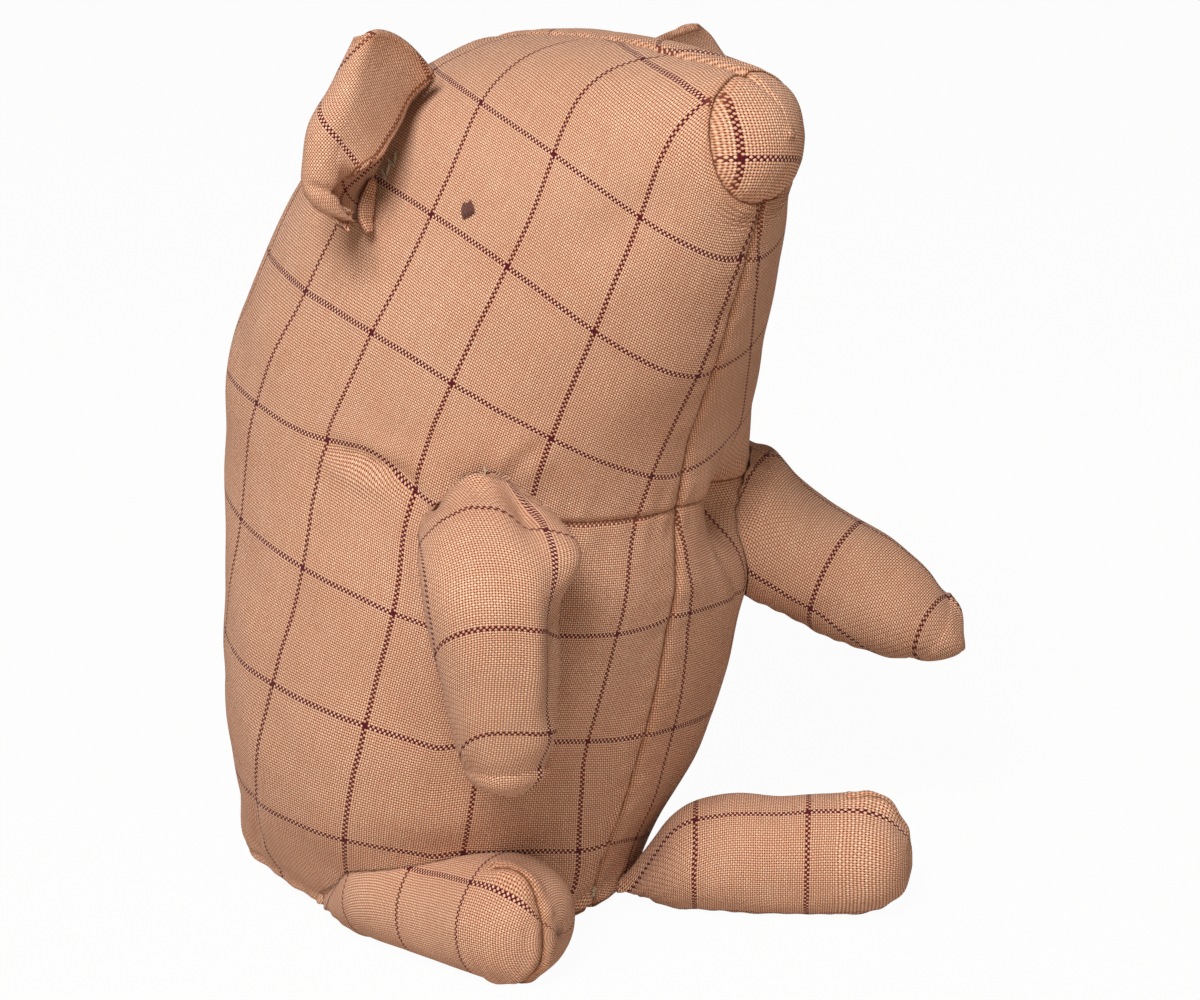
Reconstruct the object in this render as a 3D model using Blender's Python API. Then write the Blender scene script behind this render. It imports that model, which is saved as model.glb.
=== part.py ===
import math

import bmesh
import bpy
from mathutils import Matrix, Vector

# sizes in metres
BODY_HEIGHT = 0.170
BODY_DEPTH = 0.100
BODY_WIDTH = 0.108
CLOTH = 0.0008
GAP = 0.0003
OVERRUN = 0.006
FLOOR_FLAT = 0.0005
SNOUT_BULGE = 0.0076
ARM_LENGTH = 0.056
ARM_WIDTH = 0.028
ARM_THICKNESS = 0.024
ARM_TIP = 0.0058
LEG_LENGTH = 0.056
LEG_WIDTH = 0.024
LEG_THICKNESS = 0.0232
LEG_TIP = 0.012
EAR_REACH = 0.0212
EAR_FOLD_ROUND = 0.0020
EYE_LENGTH = 0.0032
EYE_WIDTH = 0.0026
EYE_THICKNESS = 0.0022

# rings of the body from the base seam to the snout seam, as shares of the body's depth,
# height and width: front out, front up, back out, back up, half width, and how much
# narrower the front of the ring is than its back
RING_SHARES = (
    (0.405, 0.0000, -0.330, 0.0000, 0.3009, 0.00),
    (0.435, 0.0641, -0.330, 0.0700, 0.3704, 0.00),
    (0.486, 0.1406, -0.305, 0.1700, 0.4444, 0.00),
    (0.532, 0.2288, -0.300, 0.2700, 0.4815, 0.00),
    (0.575, 0.3229, -0.295, 0.3700, 0.4907, 0.00),
    (0.606, 0.4053, -0.295, 0.4641, 0.4815, 0.00),
    (0.612, 0.4876, -0.295, 0.5582, 0.4630, 0.02),
    (0.635, 0.5641, -0.280, 0.6524, 0.4491, 0.07),
    (0.670, 0.6288, -0.205, 0.7406, 0.4306, 0.12),
    (0.705, 0.6876, -0.115, 0.8376, 0.4028, 0.15),
    (0.733, 0.7406, 0.010, 0.9200, 0.3611, 0.16),
    (0.760, 0.7876, 0.180, 0.9818, 0.2963, 0.16),
    (0.782, 0.8259, 0.430, 0.9965, 0.2037, 0.10),
    (0.796, 0.8494, 0.745, 0.9818, 0.1157, 0.00),
)

# arms from the sewn root to the tip: along, centre off the hinge line, half width and
# half thickness; the right arm hangs with a flattened root, the left one is held out
ARM_RIGHT_SHARES = (
    (0.011, 0.092, 0.250, 0.092),
    (0.071, 0.258, 0.421, 0.250),
    (0.161, 0.433, 0.464, 0.408),
    (0.286, 0.529, 0.436, 0.483),
    (0.446, 0.525, 0.414, 0.475),
    (0.643, 0.458, 0.364, 0.408),
    (0.804, 0.383, 0.321, 0.333),
    (0.893, 0.325, 0.279, 0.275),
)
ARM_LEFT_SHARES = (
    (0.018, -0.525, 0.357, 0.417),
    (0.107, -0.550, 0.464, 0.542),
    (0.232, -0.608, 0.479, 0.517),
    (0.393, -0.629, 0.461, 0.500),
    (0.554, -0.629, 0.429, 0.479),
    (0.714, -0.629, 0.379, 0.417),
    (0.850, -0.629, 0.325, 0.350),
    (0.950, -0.629, 0.268, 0.267),
)

# leg from its sewn root to its foot: along, half width, half thickness
LEG_SHARES = (
    (0.007, 0.229, 0.095),
    (0.089, 0.292, 0.233),
    (0.214, 0.400, 0.405),
    (0.357, 0.483, 0.474),
    (0.554, 0.500, 0.483),
    (0.786, 0.500, 0.500),
)

# ear from its lower end to its top: root up and round, fold up, round and reach,
# free edge up, round and reach; round is a share of the half turn from front to back
EAR_RIGHT_SHARES = (
    (0.731, 0.566, 0.731, 0.573, 0.53, 0.729, 0.553, 0.21),
    (0.745, 0.600, 0.745, 0.592, 0.81, 0.745, 0.578, 0.64),
    (0.775, 0.630, 0.763, 0.612, 0.87, 0.778, 0.594, 0.64),
    (0.800, 0.661, 0.785, 0.632, 0.90, 0.797, 0.607, 0.38),
    (0.825, 0.720, 0.805, 0.655, 0.92, 0.825, 0.655, 0.19),
    (0.844, 0.768, 0.831, 0.691, 0.91, 0.851, 0.732, 0.14),
)
EAR_LEFT_SHARES = (
    (0.731, 0.566, 0.731, 0.573, 0.53, 0.729, 0.553, 0.21),
    (0.745, 0.600, 0.742, 0.592, 0.73, 0.742, 0.578, 0.54),
    (0.775, 0.630, 0.757, 0.612, 0.73, 0.770, 0.590, 0.48),
    (0.800, 0.661, 0.773, 0.625, 0.73, 0.790, 0.607, 0.34),
    (0.825, 0.720, 0.790, 0.640, 0.69, 0.820, 0.655, 0.19),
    (0.844, 0.768, 0.811, 0.654, 0.59, 0.845, 0.728, 0.14),
)

NECK_SHARE = 0.45
EYE_UP_SHARE = 0.799
EYE_ROUND_SHARE = 0.487
ARM_RIGHT_UP_SHARE = 0.525
ARM_LEFT_UP_SHARE = 0.470
ARM_ROUND_SHARE = 0.290
LEG_RIGHT_ROUND_SHARE = 0.517
LEG_LEFT_ROUND_SHARE = 0.066
DIFFERENCE_SHARE = 0.002

# turns in degrees
ARM_RIGHT_HEADING = 45.0
ARM_LEFT_HEADING = 50.0
ARM_RIGHT_TILT = 4.0
ARM_RIGHT_SWING = 1.0
ARM_LEFT_SWING = 57.5
LEG_RIGHT_HEADING = 3.3
LEG_LEFT_HEADING = 36.0

SECTION_POWER = 2.25
FOOT_POWER = 2.3
BODY_ROWS = 20
BODY_STEPS = 14
LIMB_ROWS = 8
LIMB_CAP_ROWS = 4
LIMB_STEPS = 16
EAR_ROWS = 8
EAR_BACK_STEPS = 3
EAR_FOLD_STEPS = 4
EAR_FLAP_STEPS = 4
DOME_RINGS = 4


def clear_scene():
    for thing in list(bpy.data.objects):
        bpy.data.objects.remove(thing, do_unlink=True)


def new_collection(name):
    group = bpy.data.collections.new(name)
    bpy.context.scene.collection.children.link(group)
    return group


def spline_row(table, share):
    last = len(table) - 1
    place = share * last
    index = min(max(int(place), 0), last - 1)
    part = place - index
    low, high = table[index], table[index + 1]
    before = table[index - 1] if index > 0 else [2 * a - b for a, b in zip(low, high)]
    after = table[index + 2] if index + 2 <= last else [2 * b - a for a, b in zip(low, high)]
    row = []
    for a, b, c, d in zip(before, low, high, after):
        value = 2 * b + (c - a) * part + (2 * a - 5 * b + 4 * c - d) * part ** 2
        row.append((value + (3 * b - a - 3 * c + d) * part ** 3) / 2)
    return row


def signed_power(value, power):
    return math.copysign(abs(value) ** power, value)


def ring_sizes(up):
    share = spline_row(RING_SHARES, up)
    rise = CLOTH + GAP
    front = Vector((0, -share[0] * BODY_DEPTH, rise + share[1] * BODY_HEIGHT))
    back = Vector((0, -share[2] * BODY_DEPTH, rise + share[3] * BODY_HEIGHT))
    return front, back, share[4] * BODY_WIDTH, share[5]


def skin(up, turn):
    # turn 0 is the front seam, 1 the back seam by the right side, -1 by the left side
    front, back, half, egg = ring_sizes(up)
    angle = turn * math.pi
    forward = signed_power(math.cos(angle), 2 / SECTION_POWER)
    across = signed_power(math.sin(angle), 2 / SECTION_POWER)
    point = (front + back) / 2 + (front - back) / 2 * forward
    point.x = -half * across * (1 - egg * forward)
    return point


def skin_normal(up, turn):
    step = DIFFERENCE_SHARE
    rise = skin(up + step, turn) - skin(up - step, turn)
    round_way = skin(up, turn + step) - skin(up, turn - step)
    return rise.cross(round_way).normalized()


def skin_out(up, turn, out):
    return skin(up, turn) + skin_normal(up, turn) * out


def ring_axis(up):
    front, back, half, egg = ring_sizes(up)
    return Vector((1, 0, 0)).cross(front - back).normalized() * -1


def ring_centre(up):
    front, back, half, egg = ring_sizes(up)
    return (front + back) / 2


def turn_list(start, end, steps):
    return [start + (end - start) * k / steps for k in range(steps + 1)]


def new_object(name, bm, group):
    bmesh.ops.recalc_face_normals(bm, faces=bm.faces[:])
    for face in bm.faces:
        face.smooth = True
    data = bpy.data.meshes.new(name)
    bm.to_mesh(data)
    bm.free()
    thing = bpy.data.objects.new(name, data)
    group.objects.link(thing)
    return thing


def add_grid(bm, rows, wrap):
    # every ring that goes all round starts at the back, so that its first half runs the
    # other way from a left panel's row and its diagonals are turned to match
    grid = [[bm.verts.new(point) for point in row] for row in rows]
    count = len(grid[0])
    for low, high in zip(grid, grid[1:]):
        for k in range(count if wrap else count - 1):
            n = (k + 1) % count
            if wrap and k < count // 2:
                bm.faces.new((low[k], low[n], high[k]))
                bm.faces.new((low[n], high[n], high[k]))
            else:
                bm.faces.new((low[k], low[n], high[n]))
                bm.faces.new((low[k], high[n], high[k]))
    return grid


def add_fan(bm, ring, point):
    tip = bm.verts.new(point)
    for k, vert in enumerate(ring):
        bm.faces.new((vert, ring[(k + 1) % len(ring)], tip))


def add_strip(bm, first, second, wrap):
    count = len(first)
    for k in range(count if wrap else count - 1):
        n = (k + 1) % count
        bm.faces.new((first[k], first[n], second[n], second[k]))


def sheet_mesh(outer_rows, inner_rows):
    bm = bmesh.new()
    outer = add_grid(bm, outer_rows, False)
    inner = add_grid(bm, inner_rows, False)
    add_strip(bm, outer[0], inner[0], False)
    add_strip(bm, outer[-1], inner[-1], False)
    add_strip(bm, [row[0] for row in outer], [row[0] for row in inner], False)
    add_strip(bm, [row[-1] for row in outer], [row[-1] for row in inner], False)
    return bm


def cup_mesh(outer_rows, inner_rows, outer_tip, inner_tip):
    bm = bmesh.new()
    outer = add_grid(bm, outer_rows, True)
    inner = add_grid(bm, inner_rows, True)
    add_strip(bm, outer[0], inner[0], True)
    add_fan(bm, outer[-1], outer_tip)
    add_fan(bm, inner[-1], inner_tip)
    return bm


def solid_mesh(rows, start, end):
    bm = bmesh.new()
    grid = add_grid(bm, rows, True)
    add_fan(bm, grid[0], start)
    add_fan(bm, grid[-1], end)
    return bm


def side_panel(group, name, side):
    turns = turn_list(0, side, BODY_STEPS)
    ups = turn_list(0, 1, BODY_ROWS)
    outer = [[skin(up, turn) for turn in turns] for up in ups]
    inner = [[skin_out(up, turn, -CLOTH) for turn in turns] for up in ups]
    for rows in (outer, inner):
        for row in rows:
            row[0].x = row[-1].x = 0
    panel = new_object(name, sheet_mesh(outer, inner), group)
    panel.location.x = -side * GAP / 2
    return panel


def whole_turns():
    return turn_list(-1, 1, 2 * BODY_STEPS)[:-1]


def base_panel(group):
    low = [Vector((p.x, p.y, 0)) for p in (skin(0, turn) for turn in whole_turns())]
    high = [point + Vector((0, 0, CLOTH)) for point in low]
    middle = Vector((0, ring_centre(0).y, 0))
    bm = solid_mesh([low, high], middle, middle + Vector((0, 0, CLOTH)))
    return new_object("base_panel", bm, group)


def dome_rows(out, lift, rings):
    axis = ring_axis(1)
    centre = ring_centre(1)
    edge = [skin_out(1, turn, out) for turn in whole_turns()]
    rows = []
    for k in range(rings):
        share = 1 - k / rings
        rise = axis * (lift + SNOUT_BULGE * (1 - share ** 2))
        rows.append([centre + (point - centre) * share + rise for point in edge])
    return rows, centre + axis * (lift + SNOUT_BULGE)


def snout_panel(group):
    back, back_tip = dome_rows(0, GAP, DOME_RINGS)
    front, front_tip = dome_rows(0, GAP + CLOTH, DOME_RINGS)
    return new_object("snout_panel", cup_mesh(front, back, front_tip, back_tip), group)


def stuffing_ring(up):
    return [skin_out(up, turn, -CLOTH - GAP) for turn in whole_turns()]


def neck_row():
    return round(NECK_SHARE * BODY_ROWS)


def body_stuffing(group):
    rows = [stuffing_ring(up) for up in turn_list(0, 1, BODY_ROWS)[:neck_row() + 1]]
    for point in rows[0]:
        point.z = CLOTH + GAP
    middle = Vector((0, ring_centre(0).y, CLOTH + GAP))
    bm = solid_mesh(rows, middle, ring_centre(NECK_SHARE))
    flat_ring(bm, rows[-1], NECK_SHARE, 0)
    return new_object("body_stuffing", bm, group)


def flat_ring(bm, row, up, lift):
    axis = ring_axis(up)
    centre = ring_centre(up)
    for vert in bm.verts:
        if any((vert.co - point).length < DIFFERENCE_SHARE * CLOTH for point in row):
            vert.co -= axis * ((vert.co - centre).dot(axis) - lift)


def head_stuffing(group):
    rows = [stuffing_ring(up) for up in turn_list(0, 1, BODY_ROWS)[neck_row():-1]]
    axis = ring_axis(NECK_SHARE)
    dome, tip = dome_rows(-CLOTH - GAP, -GAP, DOME_RINGS)
    start = ring_centre(NECK_SHARE) + axis * GAP
    bm = solid_mesh(rows + dome, start, tip)
    flat_ring(bm, rows[0], NECK_SHARE, GAP)
    return new_object("head_stuffing", bm, group)


def clearance_form(group):
    ups = turn_list(0, 1, BODY_ROWS)
    rows = [[skin_out(up, turn, GAP) for turn in whole_turns()] for up in ups]
    foot = [Vector((point.x, point.y, -OVERRUN)) for point in rows[0]]
    start = Vector((0, ring_centre(0).y, -OVERRUN))
    form = new_object("clearance_form", solid_mesh([foot] + rows, start, ring_centre(1)), group)
    form.hide_render = True
    form.display_type = "WIRE"
    return form


def cut_by(thing, cutter):
    cut = thing.modifiers.new("clearance", "BOOLEAN")
    cut.operation = "DIFFERENCE"
    cut.solver = "EXACT"
    cut.object = cutter


def limb_centre(kind, side, place):
    if kind == "arm":
        table = ARM_RIGHT_SHARES if side > 0 else ARM_LEFT_SHARES
        along, lift, half, thick = spline_row(table, place)
        lift = GAP + lift * ARM_THICKNESS
        return along * ARM_LENGTH, lift, half * ARM_WIDTH, thick * ARM_THICKNESS
    along, half, thick = spline_row(LEG_SHARES, place)
    deep = thick * LEG_THICKNESS
    return along * LEG_LENGTH, deep - FLOOR_FLAT, half * LEG_WIDTH, deep


def limb_point(kind, side, place, turn):
    along, lift, half, deep = limb_centre(kind, side, min(place, 1))
    reach, power = (ARM_TIP, 2) if kind == "arm" else (LEG_TIP, FOOT_POWER)
    if place > 1:
        angle = (place - 1) * math.pi / 2
        along += reach * signed_power(math.sin(angle), 2 / power)
        shrink = signed_power(math.cos(angle), 2 / power)
        half *= shrink
        deep *= shrink
    across = half * math.sin(turn * math.pi)
    out = lift + deep * math.cos(turn * math.pi)
    if kind == "arm":
        return Vector((across, out, -along))
    return Vector((across, along, out))


def limb_normal(kind, side, place, turn):
    step = DIFFERENCE_SHARE
    ends = [limb_point(kind, side, place + way, turn) for way in (-step, step)]
    sides = [limb_point(kind, side, place, turn + way) for way in (-step, step)]
    along = ends[1] - ends[0]
    round_way = sides[1] - sides[0]
    return along.cross(round_way).normalized()


def limb_rows(kind, side, inset):
    shaft = [k / LIMB_ROWS for k in range(LIMB_ROWS)]
    cap = [1 + 0.85 * k / LIMB_CAP_ROWS for k in range(LIMB_CAP_ROWS + 1)]
    rows = []
    for place in shaft + cap:
        row = []
        for turn in turn_list(-1, 1, LIMB_STEPS)[:-1]:
            point = limb_point(kind, side, place, turn)
            point += limb_normal(kind, side, place, turn) * inset
            if kind == "leg":
                point.z = max(point.z, inset)
            row.append(point)
        rows.append(row)
    tip = limb_point(kind, side, 2, 0)
    tip += Vector((0, 0, inset)) if kind == "arm" else Vector((0, -inset, 0))
    if kind == "leg":
        tip.z = limb_centre(kind, side, 1)[1]
    return rows, tip


def row_middle(row):
    total = Vector((0, 0, 0))
    for point in row:
        total += point
    return total / len(row)


def limb_cover(group, name, kind, side):
    outer, outer_tip = limb_rows(kind, side, 0)
    inner, inner_tip = limb_rows(kind, side, CLOTH)
    return new_object(name, cup_mesh(outer, inner, outer_tip, inner_tip), group)


def limb_stuffing(group, name, kind, side):
    rows, tip = limb_rows(kind, side, CLOTH + GAP)
    rows = rows[1:]
    return new_object(name, solid_mesh(rows, row_middle(rows[0]), tip), group)


def place_arm(thing, side):
    up = ARM_RIGHT_UP_SHARE if side > 0 else ARM_LEFT_UP_SHARE
    heading = ARM_RIGHT_HEADING if side > 0 else ARM_LEFT_HEADING
    swing = ARM_RIGHT_SWING if side > 0 else ARM_LEFT_SWING
    tilt = ARM_RIGHT_TILT if side > 0 else 0
    thing.location = skin(up, side * ARM_ROUND_SHARE)
    turn = math.pi - side * math.radians(heading)
    thing.rotation_euler = (math.radians(swing), math.radians(tilt), turn)


def place_leg(thing, side):
    share = LEG_RIGHT_ROUND_SHARE if side > 0 else LEG_LEFT_ROUND_SHARE
    heading = LEG_RIGHT_HEADING if side > 0 else LEG_LEFT_HEADING
    point = skin(0, side * share)
    thing.location = (point.x, point.y, 0)
    thing.rotation_euler = (0, 0, math.pi + math.radians(heading))


def ear_section(row, side, steps):
    root_up, root_round, fold_up, fold_round, fold_reach = row[:5]
    edge_up, edge_round, edge_reach = row[5:]
    root = skin_out(root_up, side * root_round, GAP + CLOTH)
    fold = skin_out(fold_up, side * fold_round, fold_reach * EAR_REACH)
    edge = skin_out(edge_up, side * edge_round, edge_reach * EAR_REACH)
    away = (fold - root).normalized()
    front = Vector((0, -1, 0))
    front = (front - away * front.dot(away)).normalized()
    centre = fold - away * EAR_FOLD_ROUND + front * EAR_FOLD_ROUND
    start = centre - front * EAR_FOLD_ROUND
    finish = centre + front * EAR_FOLD_ROUND
    points = [root + (start - root) * k / steps[0] for k in range(steps[0])]
    for k in range(steps[1]):
        angle = math.pi * k / steps[1]
        swing = away * math.sin(angle) - front * math.cos(angle)
        points.append(centre + swing * EAR_FOLD_ROUND)
    return points + [finish + (edge - finish) * k / steps[2] for k in range(steps[2] + 1)]


def ear_rows(side, out):
    # the table gives the lining's inner face, and every layer lies out from it along its normal
    table = EAR_RIGHT_SHARES if side > 0 else EAR_LEFT_SHARES
    steps = (EAR_BACK_STEPS, EAR_FOLD_STEPS, EAR_FLAP_STEPS)
    face = [ear_section(spline_row(table, place), side, steps)
            for place in turn_list(0, 1, EAR_ROWS)]
    last_row, last = len(face) - 1, len(face[0]) - 1
    rows = []
    for r, section in enumerate(face):
        row = []
        for k, point in enumerate(section):
            rise = face[min(r + 1, last_row)][k] - face[max(r - 1, 0)][k]
            round_way = section[min(k + 1, last)] - section[max(k - 1, 0)]
            outward = round_way.cross(rise).normalized() * side
            row.append(point + outward * out)
        rows.append(row)
    return rows


def ear_layer(group, name, side, out):
    outer, inner = ear_rows(side, out + CLOTH), ear_rows(side, out)
    ear = new_object(name, sheet_mesh(outer, inner), group)
    rows = ear_rows(side, 0)
    origin = (rows[0][0] + rows[-1][0]) / 2
    ear.data.transform(Matrix.Translation(-origin))
    ear.location = origin
    return ear


def eye_knot(group, name, side):
    bm = bmesh.new()
    bmesh.ops.create_uvsphere(bm, u_segments=10, v_segments=8, radius=EYE_LENGTH / 2)
    wide = EYE_WIDTH / EYE_LENGTH
    thick = EYE_THICKNESS / EYE_LENGTH
    bmesh.ops.scale(bm, vec=(wide, 1, thick), verts=bm.verts[:])
    eye = new_object(name, bm, group)
    normal = skin_normal(EYE_UP_SHARE, side * EYE_ROUND_SHARE)
    eye.location = skin_out(EYE_UP_SHARE, side * EYE_ROUND_SHARE, GAP + EYE_THICKNESS / 2)
    eye.rotation_euler = normal.to_track_quat("Z", "Y").to_euler()
    return eye


def paint(thing, red, green, blue, roughness):
    material = bpy.data.materials.new(thing.name)
    material.use_nodes = True
    shader = material.node_tree.nodes["Principled BSDF"]
    shader.inputs["Base Color"].default_value = (red, green, blue, 1)
    shader.inputs["Roughness"].default_value = roughness
    shader.inputs["Metallic"].default_value = 0
    thing.data.materials.append(material)


def paint_linen(thing):
    paint(thing, 0.64, 0.36, 0.23, 0.92)


def paint_fibre(thing):
    paint(thing, 0.80, 0.78, 0.72, 0.95)


def paint_thread(thing):
    paint(thing, 0.05, 0.02, 0.015, 0.70)


def build_body(group):
    linen = [side_panel(group, "side_panel_right", 1), side_panel(group, "side_panel_left", -1)]
    linen += [base_panel(group), snout_panel(group)]
    for thing in linen:
        paint_linen(thing)
    for thing in (body_stuffing(group), head_stuffing(group)):
        paint_fibre(thing)


def build_trim(group):
    for name, side in (("right", 1), ("left", -1)):
        paint_thread(eye_knot(group, "eye_knot_" + name, side))
        paint_linen(ear_layer(group, "ear_" + name + "_outer", side, CLOTH + 2 * GAP))
        paint_linen(ear_layer(group, "ear_" + name + "_inner", side, 0))


def build_limbs(group, cutter):
    for kind, place in (("arm", place_arm), ("leg", place_leg)):
        for name, side in (("right", 1), ("left", -1)):
            cover = limb_cover(group, kind + "_" + name + "_cover", kind, side)
            stuffing = limb_stuffing(group, kind + "_" + name + "_stuffing", kind, side)
            paint_linen(cover)
            paint_fibre(stuffing)
            for thing in (cover, stuffing):
                place(thing, side)
                cut_by(thing, cutter)


def main():
    clear_scene()
    group = new_collection("plush_pig")
    cutters = new_collection("plush_pig_cutters")
    build_body(group)
    build_trim(group)
    build_limbs(group, clearance_form(cutters))


main()
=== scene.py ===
import math

import bmesh
import bpy
import numpy as np
from bpy.props import FloatProperty, FloatVectorProperty, IntProperty, PointerProperty
from mathutils import Euler, Matrix, Vector, noise
from mathutils.bvhtree import BVHTree


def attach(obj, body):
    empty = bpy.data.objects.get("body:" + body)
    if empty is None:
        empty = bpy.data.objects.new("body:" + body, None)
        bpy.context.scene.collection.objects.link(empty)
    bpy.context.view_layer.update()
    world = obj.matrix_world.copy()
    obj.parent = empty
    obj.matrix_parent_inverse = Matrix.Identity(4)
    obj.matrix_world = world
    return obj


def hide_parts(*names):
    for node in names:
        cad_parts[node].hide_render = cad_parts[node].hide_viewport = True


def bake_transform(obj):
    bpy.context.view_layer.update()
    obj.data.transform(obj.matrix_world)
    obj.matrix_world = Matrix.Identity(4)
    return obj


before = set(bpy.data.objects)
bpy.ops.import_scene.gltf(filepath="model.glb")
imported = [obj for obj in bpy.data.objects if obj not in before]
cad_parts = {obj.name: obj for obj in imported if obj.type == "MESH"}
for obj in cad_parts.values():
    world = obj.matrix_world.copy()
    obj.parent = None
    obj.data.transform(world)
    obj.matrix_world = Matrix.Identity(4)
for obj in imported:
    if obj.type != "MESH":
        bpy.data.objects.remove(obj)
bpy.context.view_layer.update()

bl_info = {
    "name": "Stuffed linen pig",
    "version": (1, 0, 0),
    "blender": (4, 5, 0),
    "location": "3D View > Sidebar > Linen Pig",
    "description": "Dresses the sewn and stuffed linen pig over its fixed frame",
    "category": "Object",
}

MM = 0.001

# the photograph's frame in pixels, and the camera that took it
PHOTO_WIDTH, PHOTO_HEIGHT = 1200, 1000
AZIMUTH, ELEVATION = math.radians(-50.0), math.radians(17.5)
CAMERA_AIM, CAMERA_AWAY, CAMERA_VIEW = (0.02066, -0.02462, 0.0753), 0.720, 0.2308
CAMERA_BACK = (math.sin(AZIMUTH) * math.cos(ELEVATION),
               -math.cos(AZIMUTH) * math.cos(ELEVATION), math.sin(ELEVATION))

SENSOR_MM = 36.0

# one pane of the check, from one dyed line to the next
PANE = 0.025
# a place beside no seam: how far off in millimetres, and how far along
NO_SEAM = (9.0, 0.0)

# the same body as the frame's: sizes in metres
BODY_HEIGHT, BODY_DEPTH, BODY_WIDTH = 0.170, 0.100, 0.108
CLOTH, GAP = 0.0008, 0.0003
SNOUT_BULGE = 0.0076
SECTION_POWER = 2.25
RING_SHARES = (
    (0.405, 0.0000, -0.330, 0.0000, 0.3009, 0.00),
    (0.435, 0.0641, -0.330, 0.0700, 0.3704, 0.00),
    (0.486, 0.1406, -0.305, 0.1700, 0.4444, 0.00),
    (0.532, 0.2288, -0.300, 0.2700, 0.4815, 0.00),
    (0.575, 0.3229, -0.295, 0.3700, 0.4907, 0.00),
    (0.606, 0.4053, -0.295, 0.4641, 0.4815, 0.00),
    (0.612, 0.4876, -0.295, 0.5582, 0.4630, 0.02),
    (0.635, 0.5641, -0.280, 0.6524, 0.4491, 0.07),
    (0.670, 0.6288, -0.205, 0.7406, 0.4306, 0.12),
    (0.705, 0.6876, -0.115, 0.8376, 0.4028, 0.15),
    (0.733, 0.7406, 0.010, 0.9200, 0.3611, 0.16),
    (0.760, 0.7876, 0.180, 0.9818, 0.2963, 0.16),
    (0.782, 0.8259, 0.430, 0.9965, 0.2037, 0.10),
    (0.796, 0.8494, 0.745, 0.9818, 0.1157, 0.00),
)

# limbs: along, centre off the hinge line, half width, half thickness
ARM_LENGTH, ARM_WIDTH, ARM_THICKNESS, ARM_TIP = 0.056, 0.028, 0.024, 0.0058
LEG_LENGTH, LEG_WIDTH, LEG_THICKNESS, LEG_TIP = 0.056, 0.024, 0.0232, 0.012
FLOOR_FLAT = 0.0005
FOOT_POWER = 2.3
ARM_SHARES = {
    "right": (
        (0.011, 0.092, 0.250, 0.092),
        (0.071, 0.258, 0.421, 0.250),
        (0.161, 0.433, 0.464, 0.408),
        (0.286, 0.529, 0.436, 0.483),
        (0.446, 0.525, 0.414, 0.475),
        (0.643, 0.458, 0.364, 0.408),
        (0.804, 0.383, 0.321, 0.333),
        (0.893, 0.325, 0.279, 0.275),
    ),
    "left": (
        (0.018, -0.525, 0.357, 0.417),
        (0.107, -0.550, 0.464, 0.542),
        (0.232, -0.608, 0.479, 0.517),
        (0.393, -0.629, 0.461, 0.500),
        (0.554, -0.629, 0.429, 0.479),
        (0.714, -0.629, 0.379, 0.417),
        (0.850, -0.629, 0.325, 0.350),
        (0.950, -0.629, 0.268, 0.267),
    ),
}
LEG_SHARES = (
    (0.007, 0.229, 0.095),
    (0.089, 0.292, 0.233),
    (0.214, 0.400, 0.405),
    (0.357, 0.483, 0.474),
    (0.554, 0.500, 0.483),
    (0.786, 0.500, 0.500),
)
ARM_UP = {"right": 0.525, "left": 0.470}
ARM_ROUND = 0.290
ARM_HEADING = {"right": 45.0, "left": 50.0}
ARM_TILT = {"right": 4.0, "left": 0.0}
ARM_SWING = {"right": 1.0, "left": 57.5}
LEG_ROUND = {"right": 0.517, "left": 0.066}
LEG_HEADING = {"right": 3.3, "left": 36.0}
SIDE = {"right": 1, "left": -1}

# where lines of the check run on each side panel in the photograph: pixels across and down,
# then the number of the line that runs up the panel and of the one that runs round it, with
# None for the one that doesn't pass there
CHECK_CROSSINGS = {
    "right": (
        (488, 100, 0, 0), (428, 212, 0, 1), (369, 332, 0, 2), (325, 446, 0, 3), (296, 561, 0, 4),
        (274, 686, 0, 5), (257, 802, 0, 6), (553, 145, 1, 0), (503, 264, 1, 1), (451, 387, 1, 2),
        (415, 495, 1, 3), (396, 601, 1, 4), (362, 725, 1, 5), (350, 842, 1, 6), (633, 216, 2, 0),
        (597, 329, 2, 1), (553, 446, 2, 2), (465, 848, 2, 6), (740, 260, 3, 0), (701, 369, 3, 1),
        (655, 479, 3, 2), (617, 630, 3, 4), (588, 740, 3, 5), (577, 851, 3, 6), (305, 286, -1, 2),
        (258, 401, -1, 3), (242, 523, -1, 4), (270, 253, -2, 2), (664, 622, None, 4),
        (646, 734, None, 5), (613, 845, None, 6), (565, 635, None, 4), (630, 526, 3, None),
        (630, 550, 3, None), (598, 680, 3, None), (585, 800, 3, None), (567, 893, 3, None),
        (646, 518, 3.13, None), (578, 33, 0, -1), (646, 60, 1, -1), (697, 104, 2, -1),
        (434, 77, -1, 0), (460, 50, -1, None), (498, 33, -1, None), (530, 50, 0, None),
        (618, 71, 1, None), (714, 84, 2, None), (758, 206, 3, None), (612, 48, None, -1),
        (345, 462, None, 3), (690, 251, None, 0), (270, 420, None, 3), (673, 482, None, 2),
    ),
    "left": (
        (690, 520, 3, None), (690, 560, 3, None), (690, 614, 3, 4), (683, 660, 3, None),
        (678, 700, 3, None), (672, 729, 3, 5), (660, 780, 3, None), (648, 815, 3, None),
        (640, 842, 3, 6), (718, 706, 2, 5), (712, 760, 2, None), (664, 622, None, 4),
        (646, 734, None, 5), (613, 845, None, 6), (715, 606, None, 4), (700, 715, None, 5),
        (712, 367, None, 1), (730, 358, None, 1), (745, 345, None, 1), (700, 468, None, 2),
        (715, 455, None, 2), (765, 260, None, 0), (776, 253, None, 0), (733, 422, 2, None),
        (752, 350, 2, None), (679, 482, 3, 2),
    ),
}
LAY_POWER = {"right": 6, "left": 4}
LAY_SQUARE = {"right": 0.07, "left": 0.06}
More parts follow.
